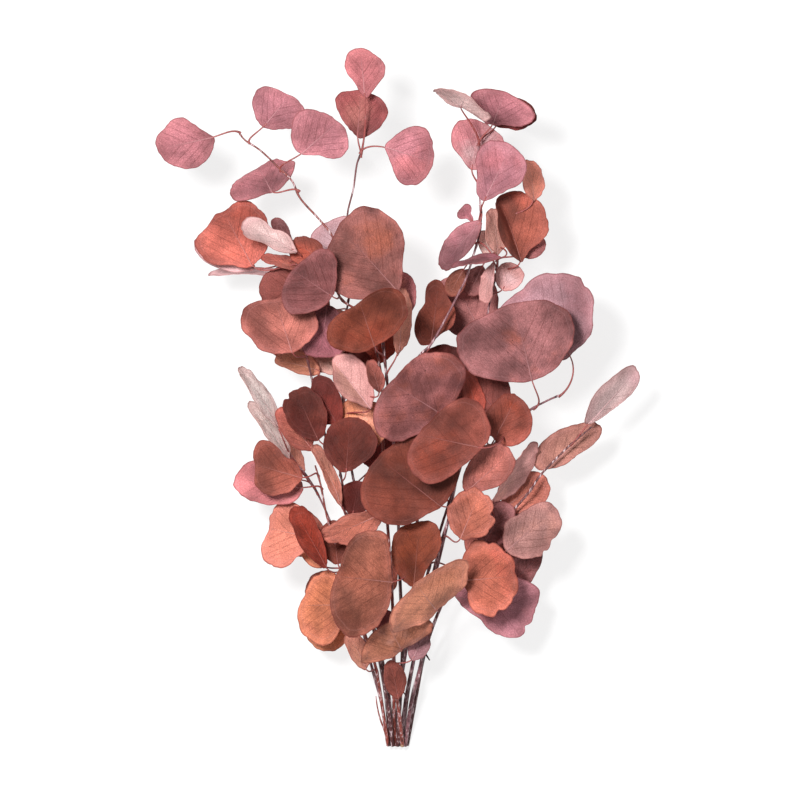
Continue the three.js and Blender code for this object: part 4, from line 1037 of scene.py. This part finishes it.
def buildLeaves(name, rows):
    axes = [leafAxes(row) for row in rows]
    tones = [(leafTones[row["tone"]], leafTones[row["otherTone"]]) for row in rows]
    means, cosines, sines, fours = zip(*(edgeWaves(row["swell"]) for row in rows))
    attributes = {
        "base": ("FLOAT_VECTOR", [[part * mm for part in row["base"]] for row in rows]),
        "acrossAxis": ("FLOAT_VECTOR", [tuple(axis[0]) for axis in axes]),
        "alongAxis": ("FLOAT_VECTOR", [tuple(axis[1]) for axis in axes]),
        "upAxis": ("FLOAT_VECTOR", [tuple(axis[2]) for axis in axes]),
        "tone": ("FLOAT_COLOR", [paint(a) for a, b in tones]),
        "otherTone": ("FLOAT_COLOR", [paint(b) for a, b in tones]),
        "edgeTone": ("FLOAT_COLOR", [paint(paler(a, pinkEdge, 0.0, 0.7)) for a, b in tones]),
        "veinTone": ("FLOAT_COLOR", [paint(paler(a, paleVein, 0.12, 0.95)) for a, b in tones]),
        "backTone": ("FLOAT_COLOR", [paint(mixed(a, paleBack, 0.4)) for a, b in tones]),
        "swellMean": ("FLOAT", means), "swellFour": ("FLOAT", fours),
        "swellCosines": ("FLOAT_VECTOR", cosines), "swellSines": ("FLOAT_VECTOR", sines),
        # a number of its own, so that no two leaves wave and grain alike
        "own": ("FLOAT", [x * 0.41 + y * 0.27 for x, y, z in (row["base"] for row in rows)]),
        "scallops": ("FLOAT", [row["scallops"][0] for row in rows]),
        "scallopDepth": ("FLOAT", [row["scallops"][1] for row in rows]),
        "nickPlace": ("FLOAT", [math.radians(row["nick"][0]) for row in rows]),
        "nickDepth": ("FLOAT", [row["nick"][1] for row in rows]),
    }
    for title in ("long", "wide"):
        attributes[title] = ("FLOAT", [row[title] * mm for row in rows])
    for title in ("fold", "arch", "notch", "wedge", "broad", "lean", "heart", "wave", "crimp",
                  "speckle", "blotch", "half"):
        attributes[title] = ("FLOAT", [row[title] for row in rows])
    attributes["depth"] = ("FLOAT", [darkness(a) for a, b in tones])
    bases = [[part * mm for part in row["base"]] for row in rows]
    points = pointMesh(name + "_points", bases, [], attributes)
    piece = bake(name, points, leafTree, dict(leafSettings, Material=leafMaterial))
    kept = {"across", "alongShare", "rimGap", "long", "tone", "otherTone", "veinTone", "backTone",
            "edgeTone", "backFace", "rib", "speckle", "blotch", "half", "depth", "own",
            "position", "material_index", "sharp_edge"}
    for title in [layer.name for layer in piece.data.attributes]:
        layer = piece.data.attributes[title]
        if title not in kept and not layer.is_internal and not layer.is_required:
            piece.data.attributes.remove(layer)
    piece.data.set_sharp_from_angle(angle=math.radians(sharpAngle))
    return piece


def buildWood(name, row):
    line = smoothRoute(row["route"])
    length = sum((b - a).length for a, b in zip(line, line[1:]))
    chords = spaced(line, math.ceil(length / coarseStep))
    thick, thin = (radius * stemSettings["slimmer"] for radius in row["girth"])
    knots, stalks = zip(*(stalkPath(leafRow, chords) for leafRow in row["leaves"]))
    points, edges, girth, tone, woody = [], [], [], [], []

    def addChain(chain, radii, colours, isWoody):
        first = len(points)
        points.extend([tuple(point * mm) for point in chain])
        edges.extend((first + i, first + i + 1) for i in range(len(chain) - 1))
        girth.extend(radius * mm for radius in radii)
        tone.extend(paint(colour) for colour in colours)
        woody.extend([isWoody] * len(chain))

    radii, colours = [], []
    knotSwell, knotLength, knotMost = (stemSettings["knot" + part] for part in ("Swell", "Length", "Most"))
    for i, point in enumerate(line):
        share = i / (len(line) - 1)
        swell = sum(math.exp(-((point - knot).length / knotLength) ** 2) for knot in knots)
        radii.append((thick + (thin - thick) * share) * (1 + knotSwell * min(swell, knotMost)))
        colours.append(mixed(*barkTones[row["bark"]], share))
    addChain(line, radii, colours, 1.0)
    for route in row.get("twigs", []):  # bare side twigs and broken ends
        chain = smoothRoute(route)
        shares = [i / (len(chain) - 1) for i in range(len(chain))]
        thick, thin = twigSettings["thick"], twigSettings["thin"]
        thickness = [thick + (thin - thick) * share for share in shares]
        addChain(chain, thickness, [barkTones[row["bark"]][0]] * len(chain), 1.0)
    for chain in stalks:
        count = len(chain)
        shares = [i / (count - 1) for i in range(count)]
        thickness = [stalkSettings["thick"] + (stalkSettings["thin"] - stalkSettings["thick"]) * share
                     + stalkSettings["flare"] * math.exp(-(share / stalkSettings["flareShare"]) ** 2)
                     for share in shares]
        addChain(chain, thickness, [mixed(stalkTones["root"], stalkTones["tip"], s) for s in shares], 0.0)
    chains = pointMesh(name + "_chains", points, edges, {
        "girth": ("FLOAT", girth), "tone": ("FLOAT_COLOR", tone), "woody": ("FLOAT", woody)})
    materials = {"Bark": barkMaterial, "Cut wood": cutMaterial}
    return bake(name, chains, woodTree, dict(woodSettings, **materials))


triangles = 0
for number, row in enumerate(bunch, start=1):
    for piece in (buildLeaves(f"leaves_{number}", row["leaves"]), buildWood(f"wood_{number}", row)):
        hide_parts(row["node"])
        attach(piece, "root")
        triangles += sum(len(face.vertices) - 2 for face in piece.data.polygons)
leafCount = sum(len(row["leaves"]) for row in bunch)
print("stems built:", len(bunch), "leaves:", leafCount, "triangles:", triangles)


studio = {
    "floorWidth": 14.0, "floorDrop": 0.2 * mm, "floorTone": (130, 130, 130), "floorGlow": 0.78,
    "worldTone": (255, 255, 255), "worldStrength": 0.27,
    "softboxPower": 84.0, "softboxSize": 0.5, "softboxPlace": (-0.6, 0.5, 2.4),
    "fillPower": 9.0, "fillSize": 1.6, "fillPlace": (0.9, -0.9, 1.9),
    "cameraHeight": 6.0, "frameWidth": 0.64, "frameMiddle": (0.0, 0.0004), "focusHeight": 0.09,
}


def makeStudio():
    half, low = studio["floorWidth"] / 2, -studio["floorDrop"]
    mesh = bpy.data.meshes.new("paleFloor")
    corners = [(-half, -half, low), (half, -half, low), (half, half, low), (-half, half, low)]
    mesh.from_pydata(corners, [], [(0, 1, 2, 3)])
    floor = bpy.data.objects.new("paleFloor", mesh)
    bpy.context.collection.objects.link(floor)
    material = bpy.data.materials.new("palePaper")
    material.use_nodes = True
    shader = material.node_tree.nodes["Principled BSDF"]
    shader.inputs["Base Color"].default_value = paint(studio["floorTone"], 1)
    shader.inputs["Roughness"].default_value = 0.9
    shader.inputs["Emission Color"].default_value = (1, 1, 1, 1)  # a lit table keeps the shadows pale
    shader.inputs["Emission Strength"].default_value = studio["floorGlow"]
    mesh.materials.append(material)

    world = bpy.data.worlds.new("softStudio")
    world.use_nodes = True
    background = world.node_tree.nodes["Background"]
    background.inputs["Color"].default_value = paint(studio["worldTone"], 1)
    background.inputs["Strength"].default_value = studio["worldStrength"]
    bpy.context.scene.world = world

    for name in ("softbox", "fill"):
        light = bpy.data.lights.new(name, "AREA")
        light.shape = "SQUARE"
        light.size = studio[name + "Size"]
        light.energy = studio[name + "Power"]
        lamp = bpy.data.objects.new(name, light)
        lamp.location = studio[name + "Place"]
        lamp.rotation_euler = (-lamp.location).to_track_quat("-Z", "Y").to_euler()
        bpy.context.collection.objects.link(lamp)

    lens = bpy.data.cameras.new("fromAbove")
    lens.sensor_width = 36
    lens.lens = lens.sensor_width * studio["cameraHeight"] / studio["frameWidth"]
    lens.clip_end = 100
    camera = bpy.data.objects.new("fromAbove", lens)
    camera.location = (*studio["frameMiddle"], studio["cameraHeight"] + studio["focusHeight"])
    bpy.context.collection.objects.link(camera)
    bpy.context.scene.camera = camera
    bpy.context.scene.view_settings.view_transform = "Standard"


makeStudio()
print("studio set")
